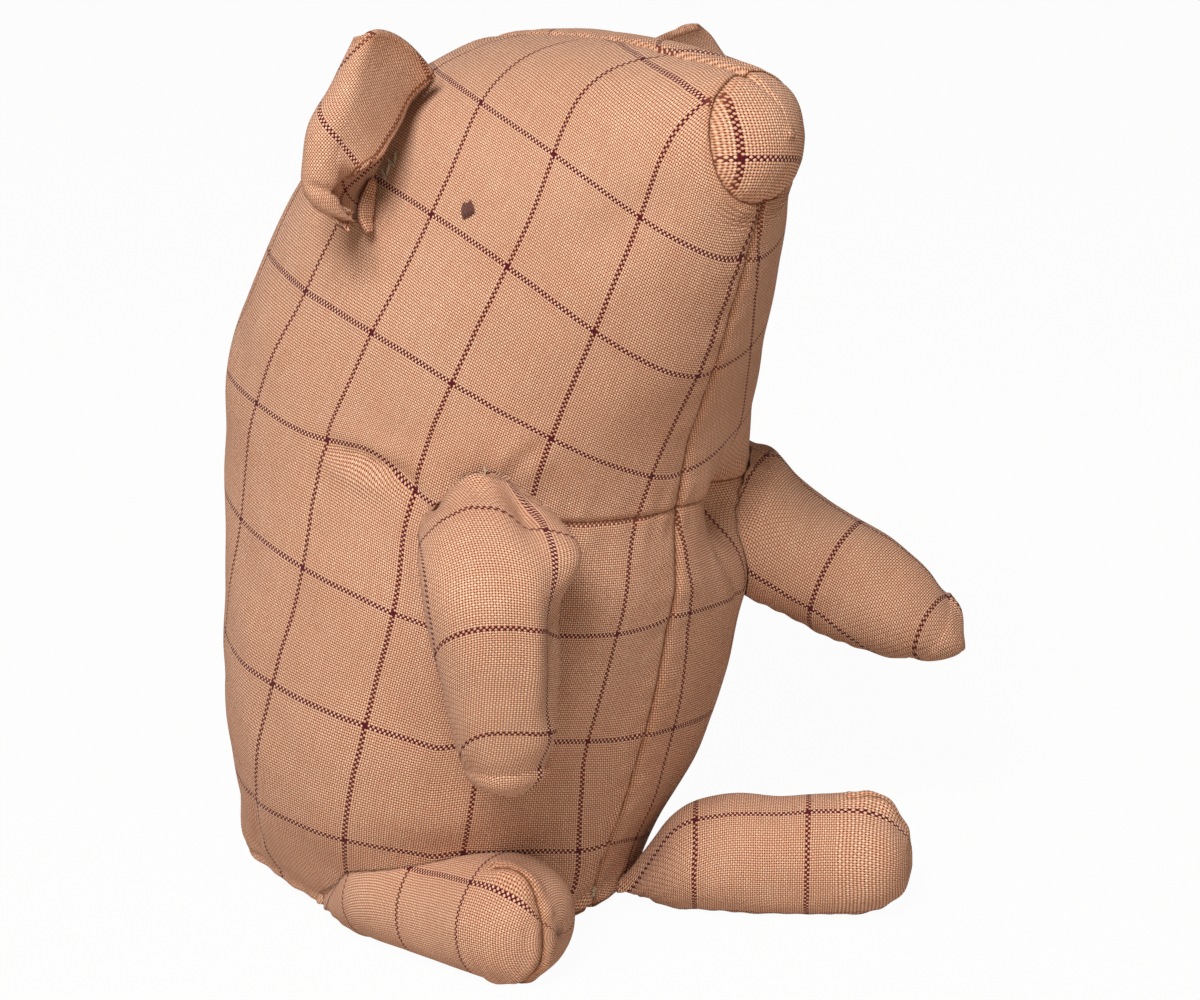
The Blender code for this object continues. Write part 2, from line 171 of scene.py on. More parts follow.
# how many times that counts along the base, the snout and the front seam
LAY_SQUARE_OUTER = 1.8
LAY_REACH = 0.080
SEEN_ROUND = 0.82

# the dart that takes up the throat: its height, how far round it runs and what it swallows
DART_UP, DART_ROUND, DART_PANES = 0.473, 0.29, 0.76
# how much the dart rises with the turn on the right side, and drops on the left
DART_LEAN = (0.06, 0.12)

# where the stuffing bulges or the cloth is drawn in: up, turn, millimetres out, and how far
# each spreads up and round
BODY_BUMPS = (
    (0.035, 0.76, 3.4, 0.055, 0.060), (0.035, -0.76, 2.6, 0.055, 0.060),
    (0.445, -0.130, -8.5, 0.055, 0.065), (0.520, 0.290, -1.0, 0.020, 0.050),
    (0.560, 0.250, 0.9, 0.035, 0.080), (0.440, 0.200, -0.8, 0.020, 0.070),
    (0.330, 0.120, 0.9, 0.080, 0.080), (0.860, 0.320, -0.8, 0.060, 0.060),
    (0.140, 0.300, -1.2, 0.030, 0.100), (0.200, 0.500, 0.8, 0.080, 0.120),
)
# the base's back corners stand off the floor: turn, millimetres
BASE_LIFTS = ((0.80, 2.9), (-0.80, 2.4))
# creases in the cloth: the places they pass, up and turn, and how deep and how wide they are
# in millimetres
BODY_CREASES = (
    (((0.521, 0.490), (0.522, 0.446), (0.516, 0.392), (0.500, 0.368), (0.481, 0.350)), 1.3, 1.6),
    (((0.560, 0.300), (0.540, 0.290), (0.525, 0.285)), 0.7, 1.3),
    (((0.575, 0.230), (0.550, 0.250), (0.530, 0.262)), 0.6, 1.3),
    (((0.470, 0.150), (0.478, 0.190), (0.490, 0.230)), 0.9, 1.2),
    (((0.500, -0.150), (0.462, -0.100), (0.432, -0.085), (0.397, -0.090), (0.335, -0.133)), 0.8, 1.5),
    (((0.050, 0.690), (0.090, 0.640), (0.140, 0.610)), 0.6, 1.4),
)

# ears in millimetres, from the lower end to the top: a place where the cloth leaves the
# head, one on the fold, and one on the free edge of the flap that hangs over the head
EAR_LINES = {
    "right": (
        (-43.6, -23.7, 140.7, -52.7, -25.8, 143.5, -50.5, -25.7, 142.6),
        (-43.0, -21.9, 142.9, -57.4, -23.9, 146.7, -48.3, -23.2, 145.7),
        (-41.8, -21.1, 145.9, -58.9, -23.0, 150.8, -46.0, -22.2, 148.7),
        (-39.9, -21.9, 149.8, -57.7, -22.4, 156.1, -50.6, -30.5, 153.0),
        (-38.0, -22.6, 153.0, -56.3, -22.5, 160.8, -46.6, -31.6, 154.9),
        (-35.8, -22.9, 156.3, -54.8, -23.1, 163.6, -42.8, -30.6, 157.1),
        (-32.4, -22.7, 160.1, -52.9, -23.9, 166.0, -38.7, -29.6, 159.6),
        (-29.1, -23.1, 163.0, -50.1, -24.4, 169.6, -34.5, -28.7, 162.7),
        (-25.9, -23.9, 165.2, -46.5, -25.1, 174.9, -29.3, -29.1, 165.7),
    ),
    "left": (
        (43.6, -23.7, 140.7, 53.9, -23.3, 144.3, 52.9, -25.8, 143.7),
        (43.0, -21.9, 142.9, 56.1, -22.5, 147.2, 54.9, -25.1, 146.5),
        (41.8, -21.1, 145.9, 56.7, -21.6, 150.0, 54.3, -25.2, 148.9),
        (39.9, -21.9, 149.8, 55.3, -21.0, 152.6, 49.4, -28.3, 151.0),
        (38.0, -22.6, 153.0, 55.6, -23.5, 154.1, 46.8, -29.0, 152.8),
        (35.8, -22.9, 156.3, 54.1, -23.7, 156.3, 43.4, -29.2, 154.8),
        (34.6, -22.9, 157.6, 52.3, -23.9, 158.9, 37.3, -27.9, 156.9),
        (33.2, -23.2, 159.2, 49.6, -24.5, 161.7, 33.0, -28.2, 159.5),
        (32.2, -24.2, 160.4, 45.6, -25.0, 164.4, 28.9, -29.2, 162.1),
    ),
}
EAR_FOLD_ROUND, EAR_THICK = 0.0020, 0.0022
# the pleat at each ear's root: how far up the root, and half its width and depth in millimetres
PLEAT_REACH, PLEAT_HALF = 0.36, (1.7, 1.25)
EAR_LAY = {"right": (1.158, -0.672, 0.773, 0.871, 0.986, -0.730),
           "left": (1.158, -0.672, 0.500, 0.871, 0.986, -0.600)}


def linear(code):
    parts = [int(code[k:k + 2], 16) / 255 for k in (1, 3, 5)]
    return tuple(p / 12.92 if p <= 0.04045 else ((p + 0.055) / 1.055) ** 2.4 for p in parts)


def spline_rows(table, share):
    table = np.asarray(table, float)
    last = len(table) - 1
    place = np.asarray(share, float) * last
    index = np.clip(place.astype(int), 0, last - 1)
    part = (place - index)[..., None]
    padded = np.vstack([2 * table[0] - table[1], table, 2 * table[-1] - table[-2]])
    a, b, c, d = (padded[index + k] for k in range(4))
    value = 2 * b + (c - a) * part + (2 * a - 5 * b + 4 * c - d) * part ** 2
    return (value + (3 * b - a - 3 * c + d) * part ** 3) / 2


def signed_power(value, power):
    return np.copysign(np.abs(value) ** power, value)


def skin(up, turn):
    up, turn = np.broadcast_arrays(np.asarray(up, float), np.asarray(turn, float))
    ring = spline_rows(RING_SHARES, up)
    rise = CLOTH + GAP
    front_y, front_z = -ring[..., 0] * BODY_DEPTH, rise + ring[..., 1] * BODY_HEIGHT
    back_y, back_z = -ring[..., 2] * BODY_DEPTH, rise + ring[..., 3] * BODY_HEIGHT
    half, egg = ring[..., 4] * BODY_WIDTH, ring[..., 5]
    forward = signed_power(np.cos(turn * np.pi), 2 / SECTION_POWER)
    across = signed_power(np.sin(turn * np.pi), 2 / SECTION_POWER)
    return np.stack([
        -half * across * (1 - egg * forward),
        (front_y + back_y) / 2 + (front_y - back_y) / 2 * forward,
        (front_z + back_z) / 2 + (front_z - back_z) / 2 * forward,
    ], -1)


def bell(distance, width):
    return np.exp(-(distance / width) ** 2)


def fade(value, start, end):
    share = np.clip((value - start) / (end - start), 0, 1)
    return share * share * (3 - 2 * share)


def eased(steps, crowd):
    share = np.linspace(0, 1, steps + 1)
    return share - crowd * np.sin(2 * np.pi * share) / (2 * np.pi)


def lengths(points, axis):
    step = np.linalg.norm(np.diff(points, axis=axis), axis=-1)
    start = np.zeros_like(np.take(step, [0], axis=axis))
    return np.concatenate([start, np.cumsum(step, axis=axis)], axis=axis)


def grid_normals(points, wrap):
    if wrap:
        beside = np.roll(points, -1, 1) - np.roll(points, 1, 1)
    else:
        beside = np.gradient(points, axis=1)
    along = np.gradient(points, axis=0)
    normal = np.cross(along, beside)
    size = np.linalg.norm(normal, axis=-1, keepdims=True)
    return normal / np.maximum(size, 1e-12)


def lumps(points, size, seed):
    flat = points.reshape(-1, 3) / size
    values = [noise.noise(Vector(p) + Vector((seed, 2 * seed, 3 * seed))) for p in flat]
    return np.array(values).reshape(points.shape[:-1])


def mesh_piece(name, points, faces, cloth, seam):
    """A closed piece with, for each face corner, its place on the flat cloth in panes and
    its place by the nearest seam: how far off in millimetres, and how far along."""
    data = bpy.data.meshes.new(name)
    data.from_pydata([tuple(p) for p in points], [], [tuple(int(k) for k in f) for f in faces])
    order = [k for f in faces for k in f]
    for label, corners in (("Cloth", cloth), ("Seam", np.asarray(seam)[order])):
        layer = data.uv_layers.new(name=label)
        layer.data.foreach_set("uv", np.asarray(corners, np.float32).ravel())
    data.polygons.foreach_set("use_smooth", [True] * len(data.polygons))
    piece = bpy.data.objects.new(name, data)
    bpy.context.scene.collection.objects.link(piece)
    shape = bmesh.new()
    shape.from_mesh(data)
    if shape.calc_volume(signed=True) < 0:
        data.flip_normals()
    shape.free()
    data.update()
    return piece


def give(piece, material):
    piece.data.materials.clear()
    piece.data.materials.append(material)


def node(tree, kind, place, inputs=None, **settings):
    made = tree.nodes.new(kind)
    made.location = place
    for key, value in settings.items():
        setattr(made, key, value)
    for key, value in (inputs or {}).items():
        if isinstance(value, bpy.types.NodeSocket):
            tree.links.new(value, made.inputs[key])
        else:
            made.inputs[key].default_value = value
    return made


def sums(tree, operation, first, second=0.0):
    made = node(tree, "ShaderNodeMath", (0, 0), {0: first, 1: second}, operation=operation)
    return made.outputs[0]


def mixed(tree, share, first, second):
    made = node(tree, "ShaderNodeMix", (0, 0), data_type="RGBA")
    for slot, value in ((0, share), (6, first), (7, second)):
        if isinstance(value, bpy.types.NodeSocket):
            tree.links.new(value, made.inputs[slot])
        elif slot:
            made.inputs[slot].default_value = (*value[:3], 1)
        else:
            made.inputs[slot].default_value = value
    return made.outputs[2]


def fresh_material(name, roughness):
    material = bpy.data.materials.new(name)
    material.use_nodes = True
    shader = material.node_tree.nodes["Principled BSDF"]
    shader.inputs["Roughness"].default_value = roughness
    shader.inputs["Metallic"].default_value = 0
    return material, material.node_tree, shader


def woven_linen(name, look):
    """Plain-woven linen: one warp thread over one weft thread, loosely set so that a hole shows
    between threads, with two dyed threads every pane in both directions. The eye gets a dotted matt
    surface, zigzag check lines, paler slubs along single threads, and a fine dark line with needle
    holes where two panels are sewn together. Painted shade darkens the holes between threads, each
    thread's edges, the cells where the weft lies on top as if lit from one side, and the cloth beside
    each seam."""
    material, tree, shader = fresh_material(name, 0.88)
    panes = node(tree, "ShaderNodeUVMap", (-2200, 0), uv_map="Cloth").outputs[0]
    place = node(tree, "ShaderNodeTexCoord", (-2200, -400)).outputs["Object"]
    wander = node(tree, "ShaderNodeTexNoise", (-2000, -200),
                  {"Vector": place, "Scale": 85.0, "Detail": 2.0}).outputs["Color"]
    wander = node(tree, "ShaderNodeVectorMath", (-1850, -200),
                  {0: wander, 1: (0.5, 0.5, 0.5)}, operation="SUBTRACT").outputs[0]
    threads = node(tree, "ShaderNodeVectorMath", (-1850, 0),
                   {0: panes, 1: (look.threads, look.threads, 0)}, operation="MULTIPLY").outputs[0]
    threads = node(tree, "ShaderNodeVectorMath", (-1700, 0),
                   {0: wander, 1: (1.5, 1.5, 0), 2: threads}, operation="MULTIPLY_ADD").outputs[0]
    split = node(tree, "ShaderNodeSeparateXYZ", (-1550, 0), {0: threads})
    across, along = split.outputs[0], split.outputs[1]
    warp_wave = sums(tree, "SINE", sums(tree, "MULTIPLY", across, math.pi))
    weft_wave = sums(tree, "SINE", sums(tree, "MULTIPLY", along, math.pi))
    over = sums(tree, "GREATER_THAN", sums(tree, "MULTIPLY", warp_wave, weft_wave), 0.0)
    warp_round = sums(tree, "ABSOLUTE", warp_wave)
    weft_round = sums(tree, "ABSOLUTE", weft_wave)
    warp_top = sums(tree, "MULTIPLY", sums(tree, "POWER", warp_round, 0.8),
                    sums(tree, "POWER", weft_round, 0.4))
    weft_top = sums(tree, "MULTIPLY", sums(tree, "POWER", weft_round, 0.8),
                    sums(tree, "POWER", warp_round, 0.4))
    height = node(tree, "ShaderNodeMix", (-900, 300),
                  {0: over, 2: weft_top, 3: warp_top}, data_type="FLOAT").outputs[0]
    # painted shade in the holes between threads, where both threads dip
    hole = node(tree, "ShaderNodeMapRange", (-900, 100),
                {"Value": sums(tree, "MAXIMUM", warp_round, weft_round),
                 "From Min": 0.42, "From Max": 0.94, "To Min": 1.0, "To Max": 0.0}).outputs[0]
    dyed = []
    streaks = []
    for way, other in ((across, along), (along, across)):
        step = sums(tree, "FLOORED_MODULO", sums(tree, "ADD", way, 1.0), look.threads)
        dyed.append(sums(tree, "LESS_THAN", step, 2.0))
        single = sums(tree, "MULTIPLY", sums(tree, "FLOOR", way), 7.31)
        run = sums(tree, "MULTIPLY", other, 0.055)
        where = node(tree, "ShaderNodeCombineXYZ", (-1200, -600), {0: single, 1: run})
        streaks.append(node(tree, "ShaderNodeTexNoise", (-1000, -600),
                            {"Vector": where.outputs[0], "Scale": 1.0, "Detail": 2.0}).outputs[0])
    line = node(tree, "ShaderNodeMix", (-700, -100),
                {0: over, 2: dyed[1], 3: dyed[0]}, data_type="FLOAT").outputs[0]
    streak = node(tree, "ShaderNodeMix", (-700, -400),
                  {0: over, 2: streaks[1], 3: streaks[0]}, data_type="FLOAT").outputs[0]
    pale = node(tree, "ShaderNodeMapRange", (-500, -400),
                {"Value": streak, "From Min": 0.35, "From Max": 0.72}).outputs[0]
    plain = mixed(tree, pale, look.thread_colour, look.slub_colour)
    blotch = node(tree, "ShaderNodeTexNoise", (-700, -700),
                  {"Vector": place, "Scale": 38.0, "Detail": 3.0}).outputs[0]
    blotch = node(tree, "ShaderNodeMapRange", (-500, -700),
                  {"Value": blotch, "From Min": 0.3, "From Max": 0.7}).outputs[0]
    plain = mixed(tree, sums(tree, "MULTIPLY", blotch, 0.22), plain, look.shade_colour)
    # painted shade on each thread's edges, where it turns down into the weave
    painted_edge_shade = node(tree, "ShaderNodeMapRange", (-500, 300),
                  {"Value": height, "From Min": 0.05, "From Max": 0.75,
                   "To Min": 0.60, "To Max": 0.0}).outputs[0]
    cloth = mixed(tree, painted_edge_shade, plain, look.shade_colour)
    # painted shade on the cells where the weft lies on top, as if lit from one side
    painted_side_shade = sums(tree, "MULTIPLY", sums(tree, "SUBTRACT", 1.0, over), 0.42)
    cloth = mixed(tree, painted_side_shade, cloth, look.shade_colour)
    cloth = mixed(tree, line, cloth, look.line_colour)
    # painted shade in the holes between the threads
    cloth = mixed(tree, sums(tree, "MULTIPLY", hole, 0.95), cloth, look.hole_colour)
    seam = node(tree, "ShaderNodeUVMap", (-1200, -900), uv_map="Seam").outputs[0]
    seam = node(tree, "ShaderNodeSeparateXYZ", (-1050, -900), {0: seam}).outputs
    off_seam = sums(tree, "ABSOLUTE", seam[0])
    needle = sums(tree, "SINE", sums(tree, "MULTIPLY", seam[1], 2 * math.pi / look.stitch))
    reach = sums(tree, "ADD", sums(tree, "MULTIPLY", needle, 0.10), 0.30)
    sewn = node(tree, "ShaderNodeMapRange", (-700, -900),
                {"Value": off_seam, "From Min": 0.06, "From Max": reach,
                 "To Min": 0.92, "To Max": 0.0})
    cloth = mixed(tree, sewn.outputs[0], cloth, look.hole_colour)
    # painted shade beside each seam, fading out over 2.2 mm
    painted_seam_shade = node(tree, "ShaderNodeMapRange", (-700, -1100),
                  {"Value": off_seam, "From Min": 0.0, "From Max": 2.2,
                   "To Min": 0.30, "To Max": 0.0})
    cloth = mixed(tree, painted_seam_shade.outputs[0], cloth, look.shade_colour)
    tree.links.new(cloth, shader.inputs["Base Color"])
    fibre = node(tree, "ShaderNodeTexNoise", (-700, 600),
                 {"Vector": place, "Scale": 5200.0, "Detail": 2.0}).outputs[0]
    relief = sums(tree, "ADD", height, sums(tree, "MULTIPLY", fibre, 0.35))
    relief = sums(tree, "SUBTRACT", relief, sums(tree, "MULTIPLY", hole, 0.5))
    bump = node(tree, "ShaderNodeBump", (-300, 300), {"Height": relief})
    bump.inputs["Strength"].default_value = 0.75
    bump.inputs["Distance"].default_value = 0.00018
    tree.links.new(bump.outputs[0], shader.inputs["Normal"])
    shader.inputs["Sheen Weight"].default_value = 0.06
    shader.inputs["Sheen Roughness"].default_value = 0.45
    shader.inputs["Specular IOR Level"].default_value = 0.12
    return material


def twisted_thread(name, colour, dark, strands):
    """Stranded cotton: fine strands twisted round each other, with painted shade in the slantwise
    grooves between the strands, so that each strand shows lighter along its middle."""
    material, tree, shader = fresh_material(name, 0.62)
    way = node(tree, "ShaderNodeUVMap", (-900, 0), uv_map="UVMap").outputs[0]
    split = node(tree, "ShaderNodeSeparateXYZ", (-750, 0), {0: way})
    slant = sums(tree, "MULTIPLY_ADD", split.outputs[0], strands)
    tree.links.new(sums(tree, "MULTIPLY", split.outputs[1], strands * 0.8), slant.node.inputs[2])
    wave = sums(tree, "ABSOLUTE", sums(tree, "SINE", sums(tree, "MULTIPLY", slant, math.pi)))
    speck = node(tree, "ShaderNodeTexNoise", (-750, -300), {"Scale": 40.0, "Vector": way}).outputs[0]
    wave = sums(tree, "MULTIPLY", wave, sums(tree, "ADD", speck, 0.5))
    # painted shade: the dark colour fills the grooves between strands, where the wave is low
    tree.links.new(mixed(tree, wave, dark, colour), shader.inputs["Base Color"])
    bump = node(tree, "ShaderNodeBump", (-300, 300), {"Height": wave})
    bump.inputs["Strength"].default_value = 0.8
    bump.inputs["Distance"].default_value = 0.0002
    tree.links.new(bump.outputs[0], shader.inputs["Normal"])
    shader.inputs["Sheen Weight"].default_value = 0.15
    return material


def dart_up(turn):
    return DART_UP + np.where(turn >= 0, DART_LEAN[0] * turn, DART_LEAN[1] * turn)


def dart_takes(turn):
    """How many panes the dart swallows at each turn."""
    return np.clip((DART_ROUND - np.abs(turn)) / DART_ROUND, 0, 1) * DART_PANES


def grid_tree(grid, faces):
    return BVHTree.FromPolygons([Vector(p) for p in grid.reshape(-1, 3)],
                                [tuple(int(k) for k in f) for f in faces])


def seen_on_skin(crossings):
    """The height and the turn at which pixels of the photograph show the plain skin."""
    rows, columns = 160, 240
    up, turn = np.linspace(0, 1, rows + 1), np.linspace(-1, 1, columns + 1)
    grid = skin(up[:, None], turn[None, :])
    tree = grid_tree(grid, quad_faces(rows, columns, False))
    back = Vector(CAMERA_BACK)
    right = Vector((math.cos(AZIMUTH), math.sin(AZIMUTH), 0))
    above = back.cross(right)
    eye = Vector(CAMERA_AIM) + back * CAMERA_AWAY
    pixels = CAMERA_AWAY * PHOTO_WIDTH / CAMERA_VIEW
    toward = (grid - np.array(eye)) @ np.array([right, above, -back]).T
    shown = np.array([PHOTO_WIDTH, PHOTO_HEIGHT]) / 2 + (
        toward[..., :2] / toward[..., 2:] * pixels * [1, -1])
    places = []
    for pixel in crossings:
        ray = right * ((pixel[0] - PHOTO_WIDTH / 2) / pixels) - back
        ray -= above * ((pixel[1] - PHOTO_HEIGHT / 2) / pixels)
        spot, normal, face, distance = tree.ray_cast(eye, ray.normalized())
        if spot is None:
            # just outside the skin's outline, so the nearest place on the outline
            off = np.linalg.norm(shown - np.array(pixel[:2]), axis=-1)
            i, j = np.unravel_index(off.argmin(), off.shape)
            places.append((up[i], turn[j]))
            continue
        i, j = divmod(face, columns)
        edges = np.stack([grid[i + 1, j] - grid[i, j], grid[i, j + 1] - grid[i, j]], 1)
        share = np.linalg.lstsq(edges, np.array(spot) - grid[i, j], rcond=None)[0]
        places.append((up[i] + share[0] / rows, turn[j] + share[1] * 2 / columns))
    return np.array(places)


def lay_terms(up, from_front, most):
    high = 2 * up - 1
    away = from_front / LAY_REACH - 1
    powers = [(i, j) for i in range(most + 1) for j in range(most + 1 - i)]
    return np.stack([high ** i * away ** j for i, j in powers], -1)


def run_from_front(up, turn):
    """How far round the plain skin each place lies from the front seam."""
    rows, columns = 200, 400
    grid = skin(np.linspace(0, 1, rows + 1)[:, None], np.linspace(0, 1, columns + 1)[None, :])
    run = lengths(grid, 1)
    down, across = np.clip(up, 0, 1) * rows, np.clip(turn, 0, 1) * columns
    i = np.minimum(down.astype(int), rows - 1)
    j = np.minimum(across.astype(int), columns - 1)
    one, other = down - i, across - j
    first = run[i, j] * (1 - one) + run[i + 1, j] * one
    second = run[i, j + 1] * (1 - one) + run[i + 1, j + 1] * one
    return first * (1 - other) + second * other


def least_squares(errors, start):
    """The values that make the sum of squared errors least, by damped Gauss-Newton steps.
    errors() gives the errors and how each one changes with each value."""
    values, damping = start, 1.0
    error, slope = errors(values)
    while True:
        square, pull = slope.T @ slope, slope.T @ error
        steeper = square + damping * np.diag(np.diag(square) + 1e-9)
        trial = values - np.linalg.solve(steeper, pull)
        trial_error, trial_slope = errors(trial)
        gain = (error @ error - trial_error @ trial_error) / (error @ error)
        if gain <= 0 and damping < 1e8:
            damping *= 4
            continue
        if gain <= 0:
            return values
        values, error, slope = trial, trial_error, trial_slope
        damping = max(damping / 5, 1e-9)
        if gain < 1e-7:
            return values


def lay_of_side(side):
    """They pass near the crossings read in the photograph, and their panes stay square and a
    pane wide, as on cloth sewn over a form."""
    most, way = LAY_POWER[side], SIDE[side]
    crossings = CHECK_CROSSINGS[side]
    up, turn = seen_on_skin(crossings).T
    held = np.abs(np.where(turn * way > 0, turn, 0))
    swallowed = np.where((up < dart_up(way * held)) & (held < DART_ROUND), dart_takes(held), 0)
    lines = np.array([each[2:] for each in crossings], float)
    lines[:, 1] -= swallowed
    near = lay_terms(up, run_from_front(up, held), most)
    read = ~np.isnan(lines)
    # places all over the side at which the panes are kept square
    high, far = np.meshgrid(np.linspace(0.006, 0.994, 23), np.linspace(0.012, 0.988, 17),
                            indexing="ij")
    high, far, step = high.ravel(), far.ravel(), 0.004

    def changes(terms):
        return ((terms(high + step, far) - terms(high - step, far)) / (2 * step),
                (terms(high, far + step) - terms(high, far - step)) / (2 * step))

    rise, beside = changes(skin)
    rise_terms, beside_terms = changes(lambda a, b: lay_terms(a, run_from_front(a, b), most))
    rise, beside = rise / PANE, beside / PANE
    tall = np.linalg.norm(rise, axis=1)
    slant = (rise * beside).sum(1) / tall
    wide = np.sqrt(np.maximum((beside ** 2).sum(1) - slant ** 2, 1e-9))
    one = rise_terms / tall[:, None]
    other = (beside_terms - one * slant[:, None]) / wide[:, None]
    area = tall * wide
    outer = (high < 0.12) | (high > 0.93) | (far < 0.05)
    weight = np.sqrt(area / area.mean()) * np.where(outer, LAY_SQUARE_OUTER, 1.0)
    weight = weight * LAY_SQUARE[side] * PANE / MM
    count = near.shape[1]
    blank = np.zeros((len(high), count))
    known = [near[read[:, k]] * PANE / MM for k in (0, 1)]

    def errors(values):
        first, second = values[:count], values[count:]
        u1, u2, v1, v2 = one @ first, other @ first, one @ second, other @ second
        error = [known[0] @ first - lines[read[:, 0], 0] * PANE / MM,
                 known[1] @ second - lines[read[:, 1], 1] * PANE / MM,
                 (u1 ** 2 + u2 ** 2 - 1) * weight / 2, (v1 ** 2 + v2 ** 2 - 1) * weight / 2,
                 (u1 * v1 + u2 * v2) * weight * 0.6]
        heavy = weight[:, None]
        of_first = (u1[:, None] * one + u2[:, None] * other) * heavy
        of_second = (v1[:, None] * one + v2[:, None] * other) * heavy
        slope = [np.hstack([known[0], known[0] * 0]), np.hstack([known[1] * 0, known[1]]),
                 np.hstack([of_first, blank]), np.hstack([blank, of_second]),
                 np.hstack([of_second * 0.6, of_first * 0.6])]
        return np.concatenate(error), np.vstack(slope)

    # the first guess: 6.4 panes round the side, and 8 up it
    start = np.zeros(2 * count)
    start[1], start[count], start[count + most + 1] = -3.2, 3.0, -4.0
    return least_squares(errors, start).reshape(2, count).T


def lay_beyond(side, up, from_front, turn):
    surfaces = lay_of_side(side)
    known = np.where(np.abs(turn) < SEEN_ROUND, from_front, 0).max(1, keepdims=True)
    near = np.minimum(from_front, known)
    laid = lay_terms(up, near, LAY_POWER[side]) @ surfaces
    back = 2 * MM
    before = lay_terms(up, near - back, LAY_POWER[side]) @ surfaces
    return laid + (laid - before) * ((from_front - near) / back)[..., None]


def body_grid(rows, columns):
    """Height and turn of every point of the skin, with close rows of points by the dart."""
    near = DART_UP + 0.0011 * np.arange(-7, 8)
    down = eased(rows, 0.50)
    down = np.sort(np.concatenate([down[np.abs(down - DART_UP) > 0.0095], near]))
    row = int(np.abs(down - DART_UP).argmin())
    half = eased(columns, 0.70)
    turn = np.concatenate([-half[::-1], half[1:]])
    bend = bell(down - DART_UP, 0.16)[:, None]
    lean = dart_up(np.clip(turn, -DART_ROUND, DART_ROUND)) - DART_UP
    up = down[:, None] + lean[None, :] * bend * (down[:, None] > 0) * (down[:, None] < 1)
    return up, np.broadcast_to(turn, up.shape), row


def from_line(points, line):
    """How far each point lies from a line drawn on the skin."""
    line = np.array(line)
    steps = np.linspace(0, len(line) - 1, 8 * len(line))
    along = [np.interp(steps, np.arange(len(line)), line[:, k]) for k in (0, 1)]
    marks = skin(along[0], along[1])
    away = [np.linalg.norm(points - mark, axis=-1) for mark in marks]
    return np.min(away, 0), np.argmin(away, 0) / len(steps)


def body_relief(base, up, turn, row):
    """How far the stuffed skin stands off the plain skin: seams, creases and lumps; and how
    far each point lies from the nearest seam and along it, in millimetres."""
    middle = turn.shape[1] // 2
    along = lengths(base, 1)
    from_front = np.abs(along - along[:, middle:middle + 1])
    round_way = np.where(turn < 0, from_front[:, :1], from_front[:, -1:])
    from_back = round_way - from_front
    rise = lengths(base, 0)
    out = 1.00 * MM * lumps(base, 0.030, 3.1) + 0.45 * MM * lumps(base, 0.011, 7.7)
    dart_share = 1 - fade(np.abs(turn), 0.25, DART_ROUND)
    from_dart = np.abs(rise - rise[row:row + 1]) + 9 * MM * (1 - dart_share)
    seams = (
        (from_front, rise, 0.75, 0.9),
        (from_back, rise, 0.75, 1.0),
        (rise, along, 0.80, 1.2),
        (rise[-1:] - rise, along, 0.45, 0.8),
        (from_dart, along, 0.50, 0.7),
    )
    for number, (distance, run, deep, wide) in enumerate(seams):
        out = out - deep * MM * bell(distance, wide * MM)
        out = out - 0.30 * MM * np.exp(-distance / (4 * MM))
        ripple = np.sin(2 * np.pi * run / (6.5 * MM) + 5 * lumps(base, 0.015, 11.0 + number))
        out = out + 0.15 * MM * ripple * bell(distance - 3 * MM, 3 * MM)
    out = out + 0.7 * MM * bell(rise - 2.2 * MM, 1.3 * MM)
    below = rise[row:row + 1] - rise
    under_dart = fade(below, -0.2 * MM, 0.6 * MM) * np.exp(-np.abs(below) / (9 * MM))
    out = out - 0.3 * MM * dart_share * under_dart
    for high, away, deep, tall, wide in BODY_BUMPS:
        out = out + deep * MM * np.exp(-((up - high) / tall) ** 2 - ((turn - away) / wide) ** 2)
    for line, deep, wide in BODY_CREASES:
        distance, share = from_line(base, line)
        strong = 0.35 + 0.65 * np.sin(np.pi * np.clip(share, 0, 1)) ** 0.5
        out = out - strong * deep * MM * bell(distance, wide * MM)
        out = out + strong * 0.45 * deep * MM * bell(distance - 2.2 * wide * MM, 1.5 * wide * MM)
    away = np.stack([each[0] for each in seams])
    run = np.stack([np.broadcast_to(each[1], up.shape) for each in seams])
    nearest = away.argmin(0)[None]
    seam = np.stack([np.take_along_axis(each, nearest, 0)[0] for each in (away, run)], -1)
    return out, from_front, seam / MM


def body_shape(rows, columns):
    up, turn, row = body_grid(rows, columns)
    base = skin(up, turn)
    base[:, [0, base.shape[1] // 2, -1], 0] = 0
    relief, from_front, seam = body_relief(base, up, turn, row)
    normal = grid_normals(base[:, :-1], True)
    normal = np.concatenate([normal, normal[:, :1]], 1)
    outward = np.sign((normal * (base - skin(up, turn * 0 + 0.5) * [0, 1, 1])).sum(-1).mean())
    points = base + normal * outward * relief[..., None]
    points[:, [0, points.shape[1] // 2, -1], 0] = 0
    points[..., 2] = np.maximum(points[..., 2], 0.4 * MM)
    for away, high in BASE_LIFTS:
        points[..., 2] += high * MM * np.exp(-(up / 0.06) ** 2 - ((turn - away) / 0.11) ** 2)
    points[:, -1] = points[:, 0]
    return points, up, turn, row, from_front, seam


def quad_faces(rows, columns, wrap):
    count = columns if wrap else columns + 1
    i, j = np.meshgrid(np.arange(rows), np.arange(columns), indexing="ij")
    i, j = i.ravel(), j.ravel()
    n = (j + 1) % count
    return np.stack([i * count + j, i * count + n, (i + 1) * count + n, (i + 1) * count + j], 1)


def corner_lay(lay):
    """One place for each face corner from a grid of places that has a last column of its own."""
    return np.stack([lay[:-1, :-1], lay[:-1, 1:], lay[1:, 1:], lay[1:, :-1]], 2)


